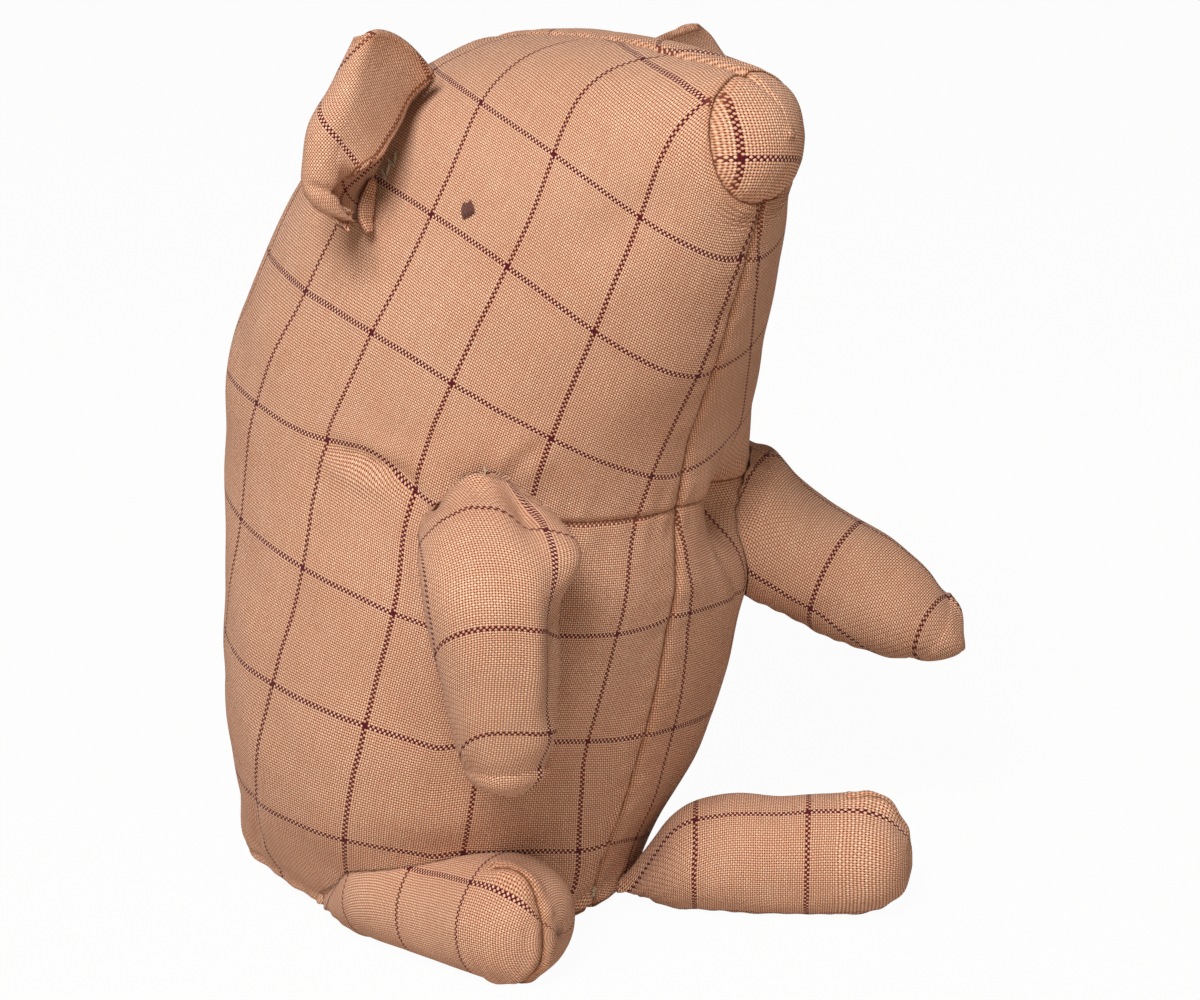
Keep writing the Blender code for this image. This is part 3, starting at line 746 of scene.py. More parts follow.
def stuffed_body(rows, columns):
    points, up, turn, row, from_front, seam = body_shape(rows, columns)
    wide, last = 2 * columns, len(points) - 1
    corners = []
    for side, part in (("left", slice(0, columns + 1)), ("right", slice(columns, None))):
        half = lay_beyond(side, up[:, part], from_front[:, part], turn[:, part])
        pull = 0.16 * np.exp(-((up[:, part] - 0.53) / 0.035) ** 2
                             - ((turn[:, part] - 0.435) / 0.055) ** 2)
        spent = dart_takes(turn[:, part])
        half = half + np.stack([pull * 0, pull], -1)
        below = corner_lay(half + np.stack([spent * 0, spent], -1))
        corners.append(np.concatenate([below[:row], corner_lay(half)[row:]], 0))
    corners = np.concatenate(corners, 1).reshape(-1, 2)
    body = points[:, :-1].reshape(-1, 3)
    seams = seam[:, :-1].reshape(-1, 2)
    base = base_cap(points[0, :-1], 0, len(body))
    snout = snout_cap(points[-1, :-1], last * wide, len(body) + len(base[0]))
    faces = [tuple(f) for f in quad_faces(last, wide, True)] + base[1] + snout[1]
    return mesh_piece("stuffed_body", np.vstack([body, base[0], snout[0]]), faces,
                      np.vstack([corners, base[2], snout[2]]),
                      np.vstack([seams, base[3], snout[3]]))


def capped(edge, first, start, rings, tip, flip, place):
    """Closes an edge with rings that end in one point. Gives the new points, the faces, and
    what place() says of each face corner."""
    count = len(edge)
    points = np.vstack(rings + [tip])
    rows = [np.arange(count) + first]
    rows += [np.arange(count) + start + k * count for k in range(len(rings))]
    faces = []
    for low, high in zip(rows, rows[1:]):
        faces += [(low[k], low[(k + 1) % count], high[(k + 1) % count], high[k])
                  for k in range(count)]
    end = rows[-1]
    faces += [(end[k], end[(k + 1) % count], start + len(rings) * count) for k in range(count)]
    if flip:
        faces = [f[::-1] for f in faces]
    spots = {first + k: p for k, p in enumerate(edge)}
    spots.update({start + k: p for k, p in enumerate(points)})
    return points, faces, np.array([place(spots[k]) for f in faces for k in f])


def ring_runs(rings, tip, off):
    """How far each ring lies off the seam it starts from, and how far round, in millimetres."""
    marks = []
    for ring, away in zip(rings, off):
        run = lengths(np.asarray(ring), 0) / MM
        marks.append(np.stack([run * 0 + away, run], -1))
    return np.vstack(marks + [[NO_SEAM]])


def base_cap(edge, first, start):
    centre = np.array([0, (edge[:, 1].min() + edge[:, 1].max()) / 2, 0])
    flat = (edge - centre) * [1, 1, 0]
    lift = (edge - centre) * [0, 0, 1] - [0, 0, 0.4 * MM]
    rings = [centre + flat * share + [0, 0, high * MM] + lift * raised for share, high, raised in
             ((1.006, 0.30, 0.92), (1.000, 0.08, 0.85), (0.985, 0.02, 0.75), (0.93, 0.05, 0.50))]
    for share in np.linspace(0.82, 0.08, 9):
        ring = centre + flat * share
        rise = 0.25 * MM * (0.5 + lumps(ring, 0.012, 4.0)) * (1 - share)
        rings.append(ring + np.stack([rise * 0, rise * 0, np.maximum(rise, 0)], -1))
    tip = centre + [0, 0, 0.1 * MM]
    off = [0.4, 0.9, 1.6, 3.5] + [NO_SEAM[0]] * 9
    laid = capped(edge, first, start, rings, tip, True,
                  lambda p: (p[0] / PANE + 0.3, p[1] / PANE + 0.1))
    return (*laid, ring_runs(rings, tip, off))


def snout_axes():
    low, high = skin(1, 0), skin(1, 1)
    centre = (low + high) / 2
    rise = (high - low) / np.linalg.norm(high - low)
    forward = np.cross([1.0, 0, 0], rise)
    forward *= np.sign(-forward[1])
    return centre, forward, rise


def snout_cap(edge, first, start):
    centre, forward, rise = snout_axes()
    flat = edge - np.outer((edge - centre) @ forward, forward) - centre
    level = ((edge - centre) @ forward)[:, None]
    rings, off = [], []
    for share in (0.992, 0.975, 0.955, 0.93, 0.90, 0.86, 0.81, 0.75, 0.68, 0.60, 0.51, 0.41, 0.30,
                  0.19, 0.08):
        away = (1 - share) * 13.0
        dome = SNOUT_BULGE * (1 - share ** 2.3)
        full = dome + 0.35 * MM * (bell(away - 1.6, 1.2) - bell(away, 0.7))
        ring = centre + flat * share + (level * share ** 6 + full) * forward
        ring = ring + np.outer(0.9 * MM * lumps(ring, 0.010, 6.0) * (1 - share), forward)
        rings.append(ring)
        off.append(away)
    tip = centre + forward * (CLOTH + GAP + SNOUT_BULGE)

    def place(spot):
        across, high = spot[0], (spot - centre) @ rise
        return ((across + 0.0089 - 20 * max(high, 0) ** 2) / PANE,
                (high + 0.0043 + 0.2 * across) / PANE)

    laid = capped(edge, first, start, rings, tip, False, place)
    return (*laid, ring_runs(rings, tip, off))


def limb_table(kind, side, place):
    if kind == "arm":
        share = spline_rows(ARM_SHARES[side], place)
        lift = GAP + share[..., 1] * ARM_THICKNESS
        return (share[..., 0] * ARM_LENGTH, lift, share[..., 2] * ARM_WIDTH,
                share[..., 3] * ARM_THICKNESS)
    share = spline_rows(LEG_SHARES, place)
    deep = share[..., 2] * LEG_THICKNESS
    return share[..., 0] * LEG_LENGTH, deep - FLOOR_FLAT, share[..., 1] * LEG_WIDTH, deep


def limb_skin(kind, side, place, turn):
    place, turn = np.broadcast_arrays(np.asarray(place, float), np.asarray(turn, float))
    along, lift, half, deep = limb_table(kind, side, np.minimum(place, 1))
    reach, power = (ARM_TIP, 2) if kind == "arm" else (LEG_TIP, FOOT_POWER)
    angle = np.clip(place - 1, 0, 1) * np.pi / 2
    along = along + reach * signed_power(np.sin(angle), 2 / power)
    shrink = signed_power(np.cos(angle), 2 / power)
    across = half * shrink * np.sin(turn * np.pi)
    out = lift + deep * shrink * np.cos(turn * np.pi)
    if kind == "arm":
        return np.stack([across, out, -along], -1)
    return np.stack([across, along, out], -1)


def limb_matrix(kind, side):
    way = SIDE[side]
    if kind == "arm":
        place = Vector(skin(ARM_UP[side], way * ARM_ROUND))
        turn = math.pi - way * math.radians(ARM_HEADING[side])
        euler = (math.radians(ARM_SWING[side]), math.radians(ARM_TILT[side]), turn)
    else:
        point = skin(0, way * LEG_ROUND[side])
        place = Vector((point[0], point[1], 0))
        euler = (0, 0, math.pi + math.radians(LEG_HEADING[side]))
    return Matrix.Translation(place) @ Euler(euler).to_matrix().to_4x4()


def body_tree():
    """The stuffed body as a tree of coarse faces, to lay other pieces against."""
    rows, columns = 110, 70
    points = body_shape(rows, columns)[0]
    return grid_tree(points[:, :-1], quad_faces(len(points) - 1, 2 * columns, True))


def on_body(tree, spot):
    """The nearest place on the body, and the way out of it there."""
    near, normal, index, distance = tree.find_nearest(Vector(spot))
    middle = Vector((0, -0.02, min(max(near.z, 0.02), 0.14)))
    return near, normal if normal.dot(near - middle) > 0 else -normal


def pushed_clear(points, tree, clear):
    """Points that would sink into the body are laid against its skin."""
    flat = points.reshape(-1, 3).copy()
    for k, spot in enumerate(flat):
        near, normal = on_body(tree, spot)
        if (Vector(spot) - near).dot(normal) < clear:
            flat[k] = near + normal * clear
    return flat.reshape(points.shape)


# how each limb's cloth lies: the turn at which its fold is, how far the end seam lies to one
# side, the check in panes along and round, how close its panes are, where its rings bow and
# by how much on either side, how far the root is raised, and its bumps: millimetres along,
# turn, millimetres out, spread of both
LIMB_FORM = {
    ("arm", "right"): {
        "fold": -0.33, "seam": -2.0, "along": 0.62, "round": 0.94, "close": 1.136,
        "bow": (0.38, 90.0, 60.0), "rise": 6.0, "bumps": (
            (22, -0.09, 3.0, 6, 0.12), (33, -0.08, -1.2, 4, 0.10), (9, 0.13, -2.4, 6, 0.07),
            (12, 0.42, 1.3, 8, 0.24), (38, 0.15, 1.0, 14, 0.07), (40, 0.00, -1.0, 14, 0.10),
            (56, 0.05, 0.8, 4, 0.15), (30, -0.60, -0.7, 8, 0.30))},
    ("arm", "left"): {
        "fold": 0.0, "seam": 0.0, "along": 0.92, "round": 0.93, "close": 1.02,
        "bow": (0.42, 38.0, 38.0), "rise": 0.0, "bumps": (
            (7, 0.05, -1.1, 2, 0.30), (43, 0.02, 1.5, 9, 0.20), (8, -0.45, 2.2, 8, 0.30),
            (8, 0.65, 1.2, 8, 0.25), (58, 0.0, 1.2, 3, 0.12), (30, 0.45, -0.8, 9, 0.30),
            (66, 0.50, 2.6, 5, 0.40))},
    ("leg", "right"): {
        "fold": 0.0, "seam": 4.0, "along": -0.17, "round": 0.67, "close": 1.75,
        "bow": (0.0, 0.0, 0.0), "rise": 3.6, "bumps": (
            (54, 0.13, 2.8, 4, 0.07), (20, 0.45, 0.8, 9, 0.30), (38, -0.5, -0.7, 9, 0.30))},
    ("leg", "left"): {
        "fold": 0.0, "seam": 0.0, "along": 0.13, "round": 0.82, "close": 1.16,
        "bow": (0.0, 0.0, 0.0), "rise": 2.5, "bumps": (
            (54, 0.0, 1.9, 4, 0.07), (25, 0.45, -0.7, 9, 0.30), (12, 0.1, 0.9, 7, 0.40))},
}
# how far from its root a limb's end is drawn flat, in metres
ARM_CLOSES, LEG_CLOSES = 0.005, 0.014
# what one degree of a bow comes to, in panes
BOW_PANES = 0.0162


def limb_shape(kind, side, rows, caps, columns):
    form = LIMB_FORM[kind, side]
    place = np.concatenate([eased(rows, 0.1), 1 + eased(caps, 0.2)[1:-1]])
    round_way = eased(columns, 0.5)
    turn = np.concatenate([-round_way[::-1], round_way[1:]])
    base = limb_skin(kind, side, place[:, None], turn[None, :] + form["fold"])
    # the root is sewn flat to the body
    along = base[:, columns, 2 if kind == "arm" else 1][:, None] * (-1 if kind == "arm" else 1)
    reach = ARM_CLOSES if kind == "arm" else LEG_CLOSES
    closed = np.sqrt(np.maximum(1 - (1 - np.clip(along / reach, 0, 1)) ** 2, 0.003))
    if kind == "arm":
        base[..., 1] *= closed
    else:
        base[..., 2] = base[..., 2] * closed + 2.5 * MM * (1 - closed)
        base[..., 0] *= 0.25 + 0.75 * closed
    away = lengths(base, 1)
    arc = away - away[:, columns:columns + 1]
    seen = 3 * columns // 2 if kind == "arm" else columns // 2
    run = lengths(base, 0)[:, seen][:, None]
    # the seam goes over the tip at the fold's line, and back to the root opposite the fold
    tip_side = fade(place, 0.96, 1.00)[:, None]
    round_share = away[:, -1:] / away[:, -1].max()
    from_fold = np.abs(arc - form["seam"] * MM * round_share)
    if kind == "leg":
        from_fold = np.abs(base[..., 0] - form["seam"] * MM)
    from_seam = np.maximum(away[:, -1:] / 2 - np.abs(arc), 0)
    ridge = np.minimum(from_seam + tip_side * 9 * MM, from_fold + (1 - tip_side) * 9 * MM)
    relief = -0.60 * MM * bell(ridge, 0.8 * MM) + 0.35 * MM * bell(ridge - 1.8 * MM, 1.2 * MM)
    ripple = np.sin(2 * np.pi * run / (5.0 * MM) + 4 * lumps(base, 0.012, 2.0))
    relief = relief + 0.14 * MM * ripple * bell(ridge - 2.5 * MM, 2.5 * MM)
    relief = relief + 0.80 * MM * lumps(base, 0.018, 5.0 + len(kind) + len(side))
    relief = relief + 0.35 * MM * lumps(base, 0.008, 9.0)
    gather = np.sin(2 * np.pi * arc / (6.0 * MM) + 3 * lumps(base, 0.010, 1.0))
    relief = relief + 0.45 * MM * gather * np.exp(-run / (6 * MM))
    for far, way, out, long, wide in form["bumps"]:
        relief = relief + out * MM * np.exp(-((run / MM - far) / long) ** 2
                                            - ((turn[None, :] - way) / wide) ** 2)
    normal = grid_normals(base[:, :-1], True)
    normal = np.concatenate([normal, normal[:, :1]], 1)
    centre = base[:, :-1].mean(1, keepdims=True)
    outward = np.sign((normal * (base - centre)).sum(-1).mean())
    points = base + normal * outward * relief[..., None]
    beside = np.sin((turn[None, :] + form["fold"]) * np.pi) ** 2
    if kind == "leg":
        points[..., 2] = np.maximum(points[..., 2], 0.05 * MM)
        points[..., 2] += form["rise"] * MM * (1 - fade(run / MM, 0, 16)) * (1 - 0.6 * beside)
    else:
        points[..., 2] += form["rise"] * MM * (0.4 - beside ** 2) * np.exp(-run / (7 * MM))
    points[:, -1] = points[:, 0]
    matrix = np.array(limb_matrix(kind, side))
    points = points @ matrix[:3, :3].T + matrix[:3, 3]
    tip = limb_skin(kind, side, 2.0, 0.0) @ matrix[:3, :3].T + matrix[:3, 3]
    # signed where the seam runs between two rows of points, so that it isn't lost there
    sign = np.where(base[..., 0] < form["seam"] * MM, -1, 1) if kind == "leg" else 1
    seam = np.stack([ridge * sign * 0.8, np.broadcast_to(run, ridge.shape)], -1) / MM
    full = int(np.abs(place - 0.97).argmin())
    beyond = (place >= place[full])[:, None]
    spared = 0.4 if kind == "leg" else 0.1
    laid_run = (run - spared * beyond * (run - run[full])) / PANE * form["close"]
    middle, one, other = form["bow"]
    one_side = one * np.exp(-run / (35 * MM)) if one > other else one
    bow = np.sin((turn[None, :] - middle) * np.pi / 2) ** 2 * np.where(
        turn[None, :] < middle, one_side, other) * BOW_PANES * form["close"]
    # over the tip the lines run on to the end seam
    laid_arc = arc + (arc[full] - arc) * 0.65 * beyond
    lay = np.stack([laid_run + form["along"] - bow, laid_arc / PANE + form["round"]], -1)
    return points, tip, seam, lay


def stuffed_limb(kind, side, rows, caps, columns, tree):
    points, tip, seam, lay = limb_shape(kind, side, rows, caps, columns)
    points = pushed_clear(points, tree, 0.25 * MM)
    wide, last = 2 * columns, len(points) - 1
    flat = points[:, :-1].reshape(-1, 3)
    root = points[0, :-1].mean(0)
    faces = [tuple(f) for f in quad_faces(last, wide, True)]
    corners = list(corner_lay(lay).reshape(-1, 2))
    seams = np.vstack([seam[:, :-1].reshape(-1, 2), [NO_SEAM, NO_SEAM]])
    for start, tip_index, line, flip in ((0, len(flat), lay[0], True),
                                         (last * wide, len(flat) + 1, lay[-1], False)):
        for k in range(wide):
            n = (k + 1) % wide
            fan = [(start + k, line[k]), (start + n, line[k + 1]), (tip_index, line[k])]
            fan = fan[::-1] if flip else fan
            faces.append(tuple(each[0] for each in fan))
            corners += [each[1] for each in fan]
    return mesh_piece(kind + "_" + side, np.vstack([flat, root, tip]), faces,
                      np.array(corners), seams)


def ear_face(side, rows, steps):
    """The ear's outer face: from the head out to the fold, round it, and back along the flap
    to its free edge."""
    lines = spline_rows(EAR_LINES[side], np.linspace(0, 1, rows + 1)) * MM
    root, fold, edge = lines[:, 0:3], lines[:, 3:6], lines[:, 6:9]
    away = fold - root
    away /= np.linalg.norm(away, axis=1, keepdims=True)
    front = np.array([0, -1.0, 0]) - away * (away @ np.array([0, -1.0, 0]))[:, None]
    front /= np.linalg.norm(front, axis=1, keepdims=True)
    gape = np.clip(np.linalg.norm(edge - fold, axis=1, keepdims=True) / 0.006, 0.18, 1)
    tip = fade(np.linspace(0, 1, rows + 1), 0.6, 1.0)[:, None]
    turn = (EAR_FOLD_ROUND + 0.0014) * gape * (1 - 0.35 * tip)
    centre = fold - away * turn + front * turn
    columns = [root + (centre - front * turn - root) * k / steps[0] for k in range(steps[0])]
    for k in range(steps[1]):
        angle = math.pi * k / steps[1]
        columns.append(centre + (away * math.sin(angle) - front * math.cos(angle)) * turn)
    finish = centre + front * turn
    columns += [finish + (edge - finish) * k / steps[2] for k in range(steps[2] + 1)]
    face = np.stack(columns, 1)
    past_fold = np.arange(sum(steps) + 1) - steps[0] - steps[1] / 2
    flap = np.clip(past_fold / (steps[2] + steps[1] / 2), 0, 1)
    top = fade(np.linspace(0, 1, rows + 1), 0.45, 1.0)[:, None]
    face[..., 2] += (3.0 if side == "right" else 1.0) * MM * top * np.sin(np.pi * flap) ** 0.8
    return face


def ear_spread(face, fold_column):
    """The folded sheet laid out flat: how far across the fold and how far along it."""
    arc = lengths(face, 1)
    fold = face[:, fold_column]
    axis = (fold[-1] - fold[0]) / np.linalg.norm(fold[-1] - fold[0])
    along = (face - fold[0]) @ axis
    across = arc - arc[:, fold_column:fold_column + 1]
    slant = along - along[:, fold_column:fold_column + 1]
    return np.sign(across) * np.sqrt(np.maximum(across ** 2 - slant ** 2, 0)), along


def folded_ear(side, rows, steps, tree):
    face = ear_face(side, rows, steps)
    way = SIDE[side]
    run, arc = lengths(face, 0), lengths(face, 1)
    normal = grid_normals(face, False) * way
    middle = (rows // 2, steps[0] // 2)
    if (normal[middle] * np.array([0, 1.0, 0])).sum() < 0:
        normal = -normal
    edge = np.minimum(np.minimum(run, run[-1:] - run), arc[:, -1:] - arc)
    thick = EAR_THICK * (0.62 + 0.38 * fade(edge, 0, 2.6 * MM))
    thick = thick * (0.3 + 0.7 * fade(run, 0, 4 * MM))
    dimple = 0.55 * MM * lumps(face, 0.014, 8.0) + 0.25 * MM * lumps(face, 0.006, 2.0)
    flap = fade(arc / arc[:, -1:], 0.50, 0.85)
    share = (run / run[-1:]) * np.ones_like(arc)
    dimple = dimple + 0.9 * MM * flap * np.sin(np.pi * np.clip(share, 0, 1)) ** 2
    dimple = dimple + 0.10 * MM * np.sin(arc / (1.4 * MM)) * np.exp(-run / (3 * MM))
    row_share = np.linspace(0, 1, rows + 1)[:, None]
    tuck = np.exp(-((row_share - 0.25) / 0.022) ** 2) * fade(arc / arc[:, -1:], 0.50, 0.58)
    dimple = dimple - 1.4 * MM * tuck
    outer = face + normal * (dimple * 0.8)[..., None]
    inner = face + normal * (dimple * 0.8 - thick)[..., None]
    across, along = ear_spread(face, steps[0] + steps[1] // 2)
    lined = [pushed_clear(each, tree, clear * MM) for each, clear in ((inner, 0.2), (outer, 0.3))]
    a, b, c, d, e, f = EAR_LAY[side]
    lay = np.stack([(a * across + b * along) / PANE + c, (d * across + e * along) / PANE + f], -1)
    count = face.shape[1]
    size = face.shape[0] * count
    faces = [tuple(q) for q in quad_faces(rows, count - 1, False)]
    faces += [tuple(k + size for k in q[::-1]) for q in quad_faces(rows, count - 1, False)]
    grid = np.arange(size).reshape(face.shape[:2])
    rim = list(grid[0, :-1]) + list(grid[:-1, -1]) + list(grid[-1, :0:-1]) + list(grid[:0:-1, 0])
    flat = lay.reshape(-1, 2)
    points = [*lined[1].reshape(-1, 3), *lined[0].reshape(-1, 3)]
    beyond = []
    for number, k in enumerate(rim):
        middle = (points[k] + points[k + size]) / 2
        before, after = points[rim[number - 1]], points[rim[(number + 1) % len(rim)]]
        edge_way = np.cross(after - before, points[k] - points[k + size])
        edge_way /= max(np.linalg.norm(edge_way), 1e-9)
        beyond.append((middle, edge_way))
    towards = np.mean(points, 0)
    sign = np.sign(sum((m - towards) @ w for m, w in beyond))
    start = len(points)
    points += [m + w * sign * 0.55 * MM for m, w in beyond]
    for k, index in enumerate(rim):
        n = (k + 1) % len(rim)
        faces.append((index, start + k, start + n, rim[n]))
        faces.append((start + k, index + size, rim[n] + size, start + n))
    laid = np.vstack([flat, flat, flat[rim] + 0.04])
    order = [k for q in faces for k in q]
    marks = np.stack([np.abs(edge - 0.9 * MM), run + arc], -1).reshape(-1, 2) / MM
    marks = np.vstack([marks, marks, marks[rim]])
    return mesh_piece("ear_" + side, points, faces, laid[order], marks)


def ear_pleat(side, tree):
    """A narrow fold of the ear's cloth that stands up along its root, closed at both ends."""
    steps = 24
    lines = spline_rows(EAR_LINES[side], np.linspace(0.0, PLEAT_REACH, steps + 1)) * MM
    root, fold = lines[:, 0:3], lines[:, 3:6]
    away = (fold - root) / np.linalg.norm(fold - root, axis=1, keepdims=True)
    along = np.gradient(root, axis=0)
    along /= np.linalg.norm(along, axis=1, keepdims=True)
    proud = np.cross(along, away) * -SIDE[side]
    proud /= np.linalg.norm(proud, axis=1, keepdims=True)
    if proud[:, 1].mean() > 0:
        proud = -proud
    root = root + (root[:1] - root[-1:]) * np.linspace(0.30, 0, steps + 1)[:, None]
    middle = root + away * 0.9 * MM + proud * 3.2 * MM
    end = np.sin(np.pi * np.linspace(0.02, 0.98, steps + 1)) ** 0.35
    turn = np.linspace(0, 2 * np.pi, steps + 1)
    wide, deep = ((half * MM * end)[:, None] for half in PLEAT_HALF)
    wave = 1 + 0.16 * np.sin(3 * turn + 1)[None, :]
    points = (middle[:, None] + away[:, None] * (wide * np.cos(turn) * wave)[..., None]
              + proud[:, None] * (deep * np.sin(turn) * wave)[..., None])
    points = pushed_clear(points, tree, 0.2 * MM)
    run, arc = lengths(points, 0)[:, :1], lengths(points, 1)
    lay = np.stack([arc / PANE + 0.1, run / PANE + 0.3 + 0 * arc], -1)
    middle = steps // 2
    marks = np.stack([np.abs(arc - arc[:, middle:middle + 1] * 0.75), run + 0 * arc], -1)
    marks = marks[:, :-1] / MM
    flat = points[:, :-1].reshape(-1, 3)
    faces = [tuple(f) for f in quad_faces(steps, steps, True)]
    corners = list(corner_lay(lay).reshape(-1, 2))
    ends = [points[0, :-1].mean(0), points[-1, :-1].mean(0)]
    for start, tip, flip in ((0, len(flat), True), (steps * steps, len(flat) + 1, False)):
        for k in range(steps):
            fan = (start + k, start + (k + 1) % steps, tip)
            faces.append(fan[::-1] if flip else fan)
            corners += [(0.1, 0.3)] * 3
    seams = np.vstack([marks.reshape(-1, 2), [NO_SEAM, NO_SEAM]])
    points = np.vstack([flat, ends])
    return mesh_piece("ear_pleat_" + side, points, faces, np.array(corners), seams)


class ClothLook(bpy.types.PropertyGroup):
    threads: IntProperty(name="Threads per pane", description="Threads from one check line to "
                         "the next", default=49, min=10, max=120)
    thread_colour: FloatVectorProperty(name="Thread", description="Colour of most threads",
                                       subtype="COLOR", default=linear("#EFBA9C"))
    slub_colour: FloatVectorProperty(name="Slub", description="Colour of the palest threads",
                                     subtype="COLOR", default=linear("#FDD6B8"))
    # the colour of the painted shade on thread edges, on weft-topped cells and beside seams; the
    # random blotches also mix towards it
    shade_colour: FloatVectorProperty(name="Thread shade", description="Colour at thread edges",
                                      subtype="COLOR", default=linear("#B8774F"))
    line_colour: FloatVectorProperty(name="Check line", description="Colour of the dyed threads",
                                     subtype="COLOR", default=linear("#5A0F22"))
    # the colour of the painted shade in the holes between threads, and of the dark line along each
    # seam
    hole_colour: FloatVectorProperty(name="Hole", description="Colour between the threads",
                                     subtype="COLOR", default=linear("#4A2414"))
    stitch: FloatProperty(name="Stitch", description="Length of a seam stitch in millimetres",
                          default=2.4, min=0.5, max=6.0)
    floss_colour: FloatVectorProperty(name="Eye floss", description="Colour of the eyes' floss",
                                      subtype="COLOR", default=linear("#6B3220"))
    hand_colour: FloatVectorProperty(name="Hand thread", description="Colour of the thread that "
                                     "sews on ears and arms", subtype="COLOR",
                                     default=linear("#DDC8A4"))
    body_rows: IntProperty(name="Body rows", description="Rows of faces up the body",
                           default=230, min=60, max=400)
    body_columns: IntProperty(name="Body columns", description="Columns of faces round half "
                              "of the body", default=150, min=40, max=300)


class StageSettings(bpy.types.PropertyGroup):
    key_power: FloatProperty(name="Key lamp", description="Power of the main lamp", default=30.0,
                             min=0.0, unit="POWER")
    fill_power: FloatProperty(name="Fill lamp", description="Power of the fill lamp", default=0.8,
                              min=0.0, unit="POWER")
    surround: FloatProperty(name="Surround", description="Brightness of the light from all round",
                            default=0.20, min=0.0)
    surround_colour: FloatVectorProperty(name="Surround colour", description="Colour of the light "
                                         "from all round", subtype="COLOR",
                                         default=(1.0, 0.76, 0.56))


def linen_for(context):
    found = bpy.data.materials.get("plain_woven_linen")
    return found or woven_linen("plain_woven_linen", context.scene.linen_pig_cloth)


class PIG_OT_body(bpy.types.Operator):
    """Makes the stuffed body with its side, base and snout panels"""
    bl_idname = "linen_pig.body"
    bl_label = "Stuffed body"

    def execute(self, context):
        look = context.scene.linen_pig_cloth
        rows, columns = look.body_rows, look.body_columns
        piece = stuffed_body(rows, columns)
        give(piece, linen_for(context))
        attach(piece, "torso")
        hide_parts("side_panel_right", "side_panel_left", "base_panel", "snout_panel",
                    "body_stuffing", "head_stuffing")
        return {"FINISHED"}


class PIG_OT_limbs(bpy.types.Operator):
    """Makes the two arms and the two legs, each one folded and stuffed cloth"""
    bl_idname = "linen_pig.limbs"
    bl_label = "Arms and legs"

    def execute(self, context):
        tree = body_tree()
        for kind, rows, caps in (("arm", 90, 24), ("leg", 84, 30)):
            for side in ("right", "left"):
                piece = stuffed_limb(kind, side, rows, caps, 60, tree)
                give(piece, linen_for(context))
                name = kind + "_" + side
                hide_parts(name + "_cover", name + "_stuffing")
                matrix = limb_matrix(kind, side)
                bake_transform(piece)
        return {"FINISHED"}


class PIG_OT_ears(bpy.types.Operator):
    """Makes the two ears, each of two layers of cloth folded over in front"""
    bl_idname = "linen_pig.ears"
    bl_label = "Ears"

    def execute(self, context):
        tree = body_tree()
        for side in ("right", "left"):
            piece = folded_ear(side, 72, (26, 14, 34), tree)
            give(piece, linen_for(context))
            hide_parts("ear_" + side + "_outer", "ear_" + side + "_inner")
            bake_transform(piece)
            pleat = ear_pleat(side, tree)
            give(pleat, linen_for(context))
            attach(pleat, "ear_" + side)
        return {"FINISHED"}


def one_stitch(length, radius):
    """One raised stitch along X, with its ends drawn down into the cloth."""
    bpy.ops.object.select_all(action="DESELECT")
    bpy.ops.mesh.primitive_uv_sphere_add(segments=12, ring_count=14, radius=1,
                                         rotation=(0, math.pi / 2, 0))
    stitch = bpy.context.object
    bpy.ops.object.transform_apply(location=False, rotation=True, scale=False)
    bpy.ops.object.mode_set(mode="EDIT")
    bpy.ops.mesh.select_all(action="SELECT")
    bpy.ops.transform.resize(value=(length / 2, radius, radius))
    shape = bmesh.from_edit_mesh(stitch.data)
    for far, drop in ((0.25, 0.15), (0.33, 0.2), (0.40, 0.3), (0.46, 0.35)):
        for vert in shape.verts:
            vert.select = abs(vert.co.x) > far * length
        shape.select_flush_mode()
        bmesh.update_edit_mesh(stitch.data)
        bpy.ops.transform.translate(value=(0, 0, -drop * radius))
    bpy.ops.object.mode_set(mode="OBJECT")
    bpy.ops.object.shade_smooth()
    return stitch


def sewn(name, stitch, places, material):
    """Copies one stitch to each place: the spot, the way out of the cloth and the way along."""
    copies = []
    for spot, out, along in places:
        out = Vector(out).normalized()
        along = Vector(along)
        along = (along - out * along.dot(out)).normalized()
        frame_way = Matrix((along, out.cross(along), out)).transposed().to_4x4()
        copy = bpy.data.objects.new(name, stitch.data.copy())
        copy.data.transform(Matrix.Translation(Vector(spot)) @ frame_way)
        bpy.context.scene.collection.objects.link(copy)
        copies.append(copy)
    bpy.ops.object.select_all(action="DESELECT")
    for copy in copies:
        copy.select_set(True)
    bpy.context.view_layer.objects.active = copies[0]
    if len(copies) > 1:
        bpy.ops.object.join()
    bpy.data.objects.remove(stitch)
    give(copies[0], material)
    return copies[0]


EYE_UP, EYE_ROUND = 0.799, 0.487
EYE_STITCH, HAND_STITCH = (2.7 * MM, 0.46 * MM), (2.6 * MM, 0.27 * MM)
# each eye's stitches: millimetres across, up and out, and how far each leans
EYE_STITCHES = (
    (-0.75, 0.25, 0.32, 0.16), (-0.40, 0.05, 0.45, 0.02), (0.0, -0.1, 0.55, -0.14),
    (0.40, 0.0, 0.45, 0.10), (0.72, -0.35, 0.3, -0.06),
)


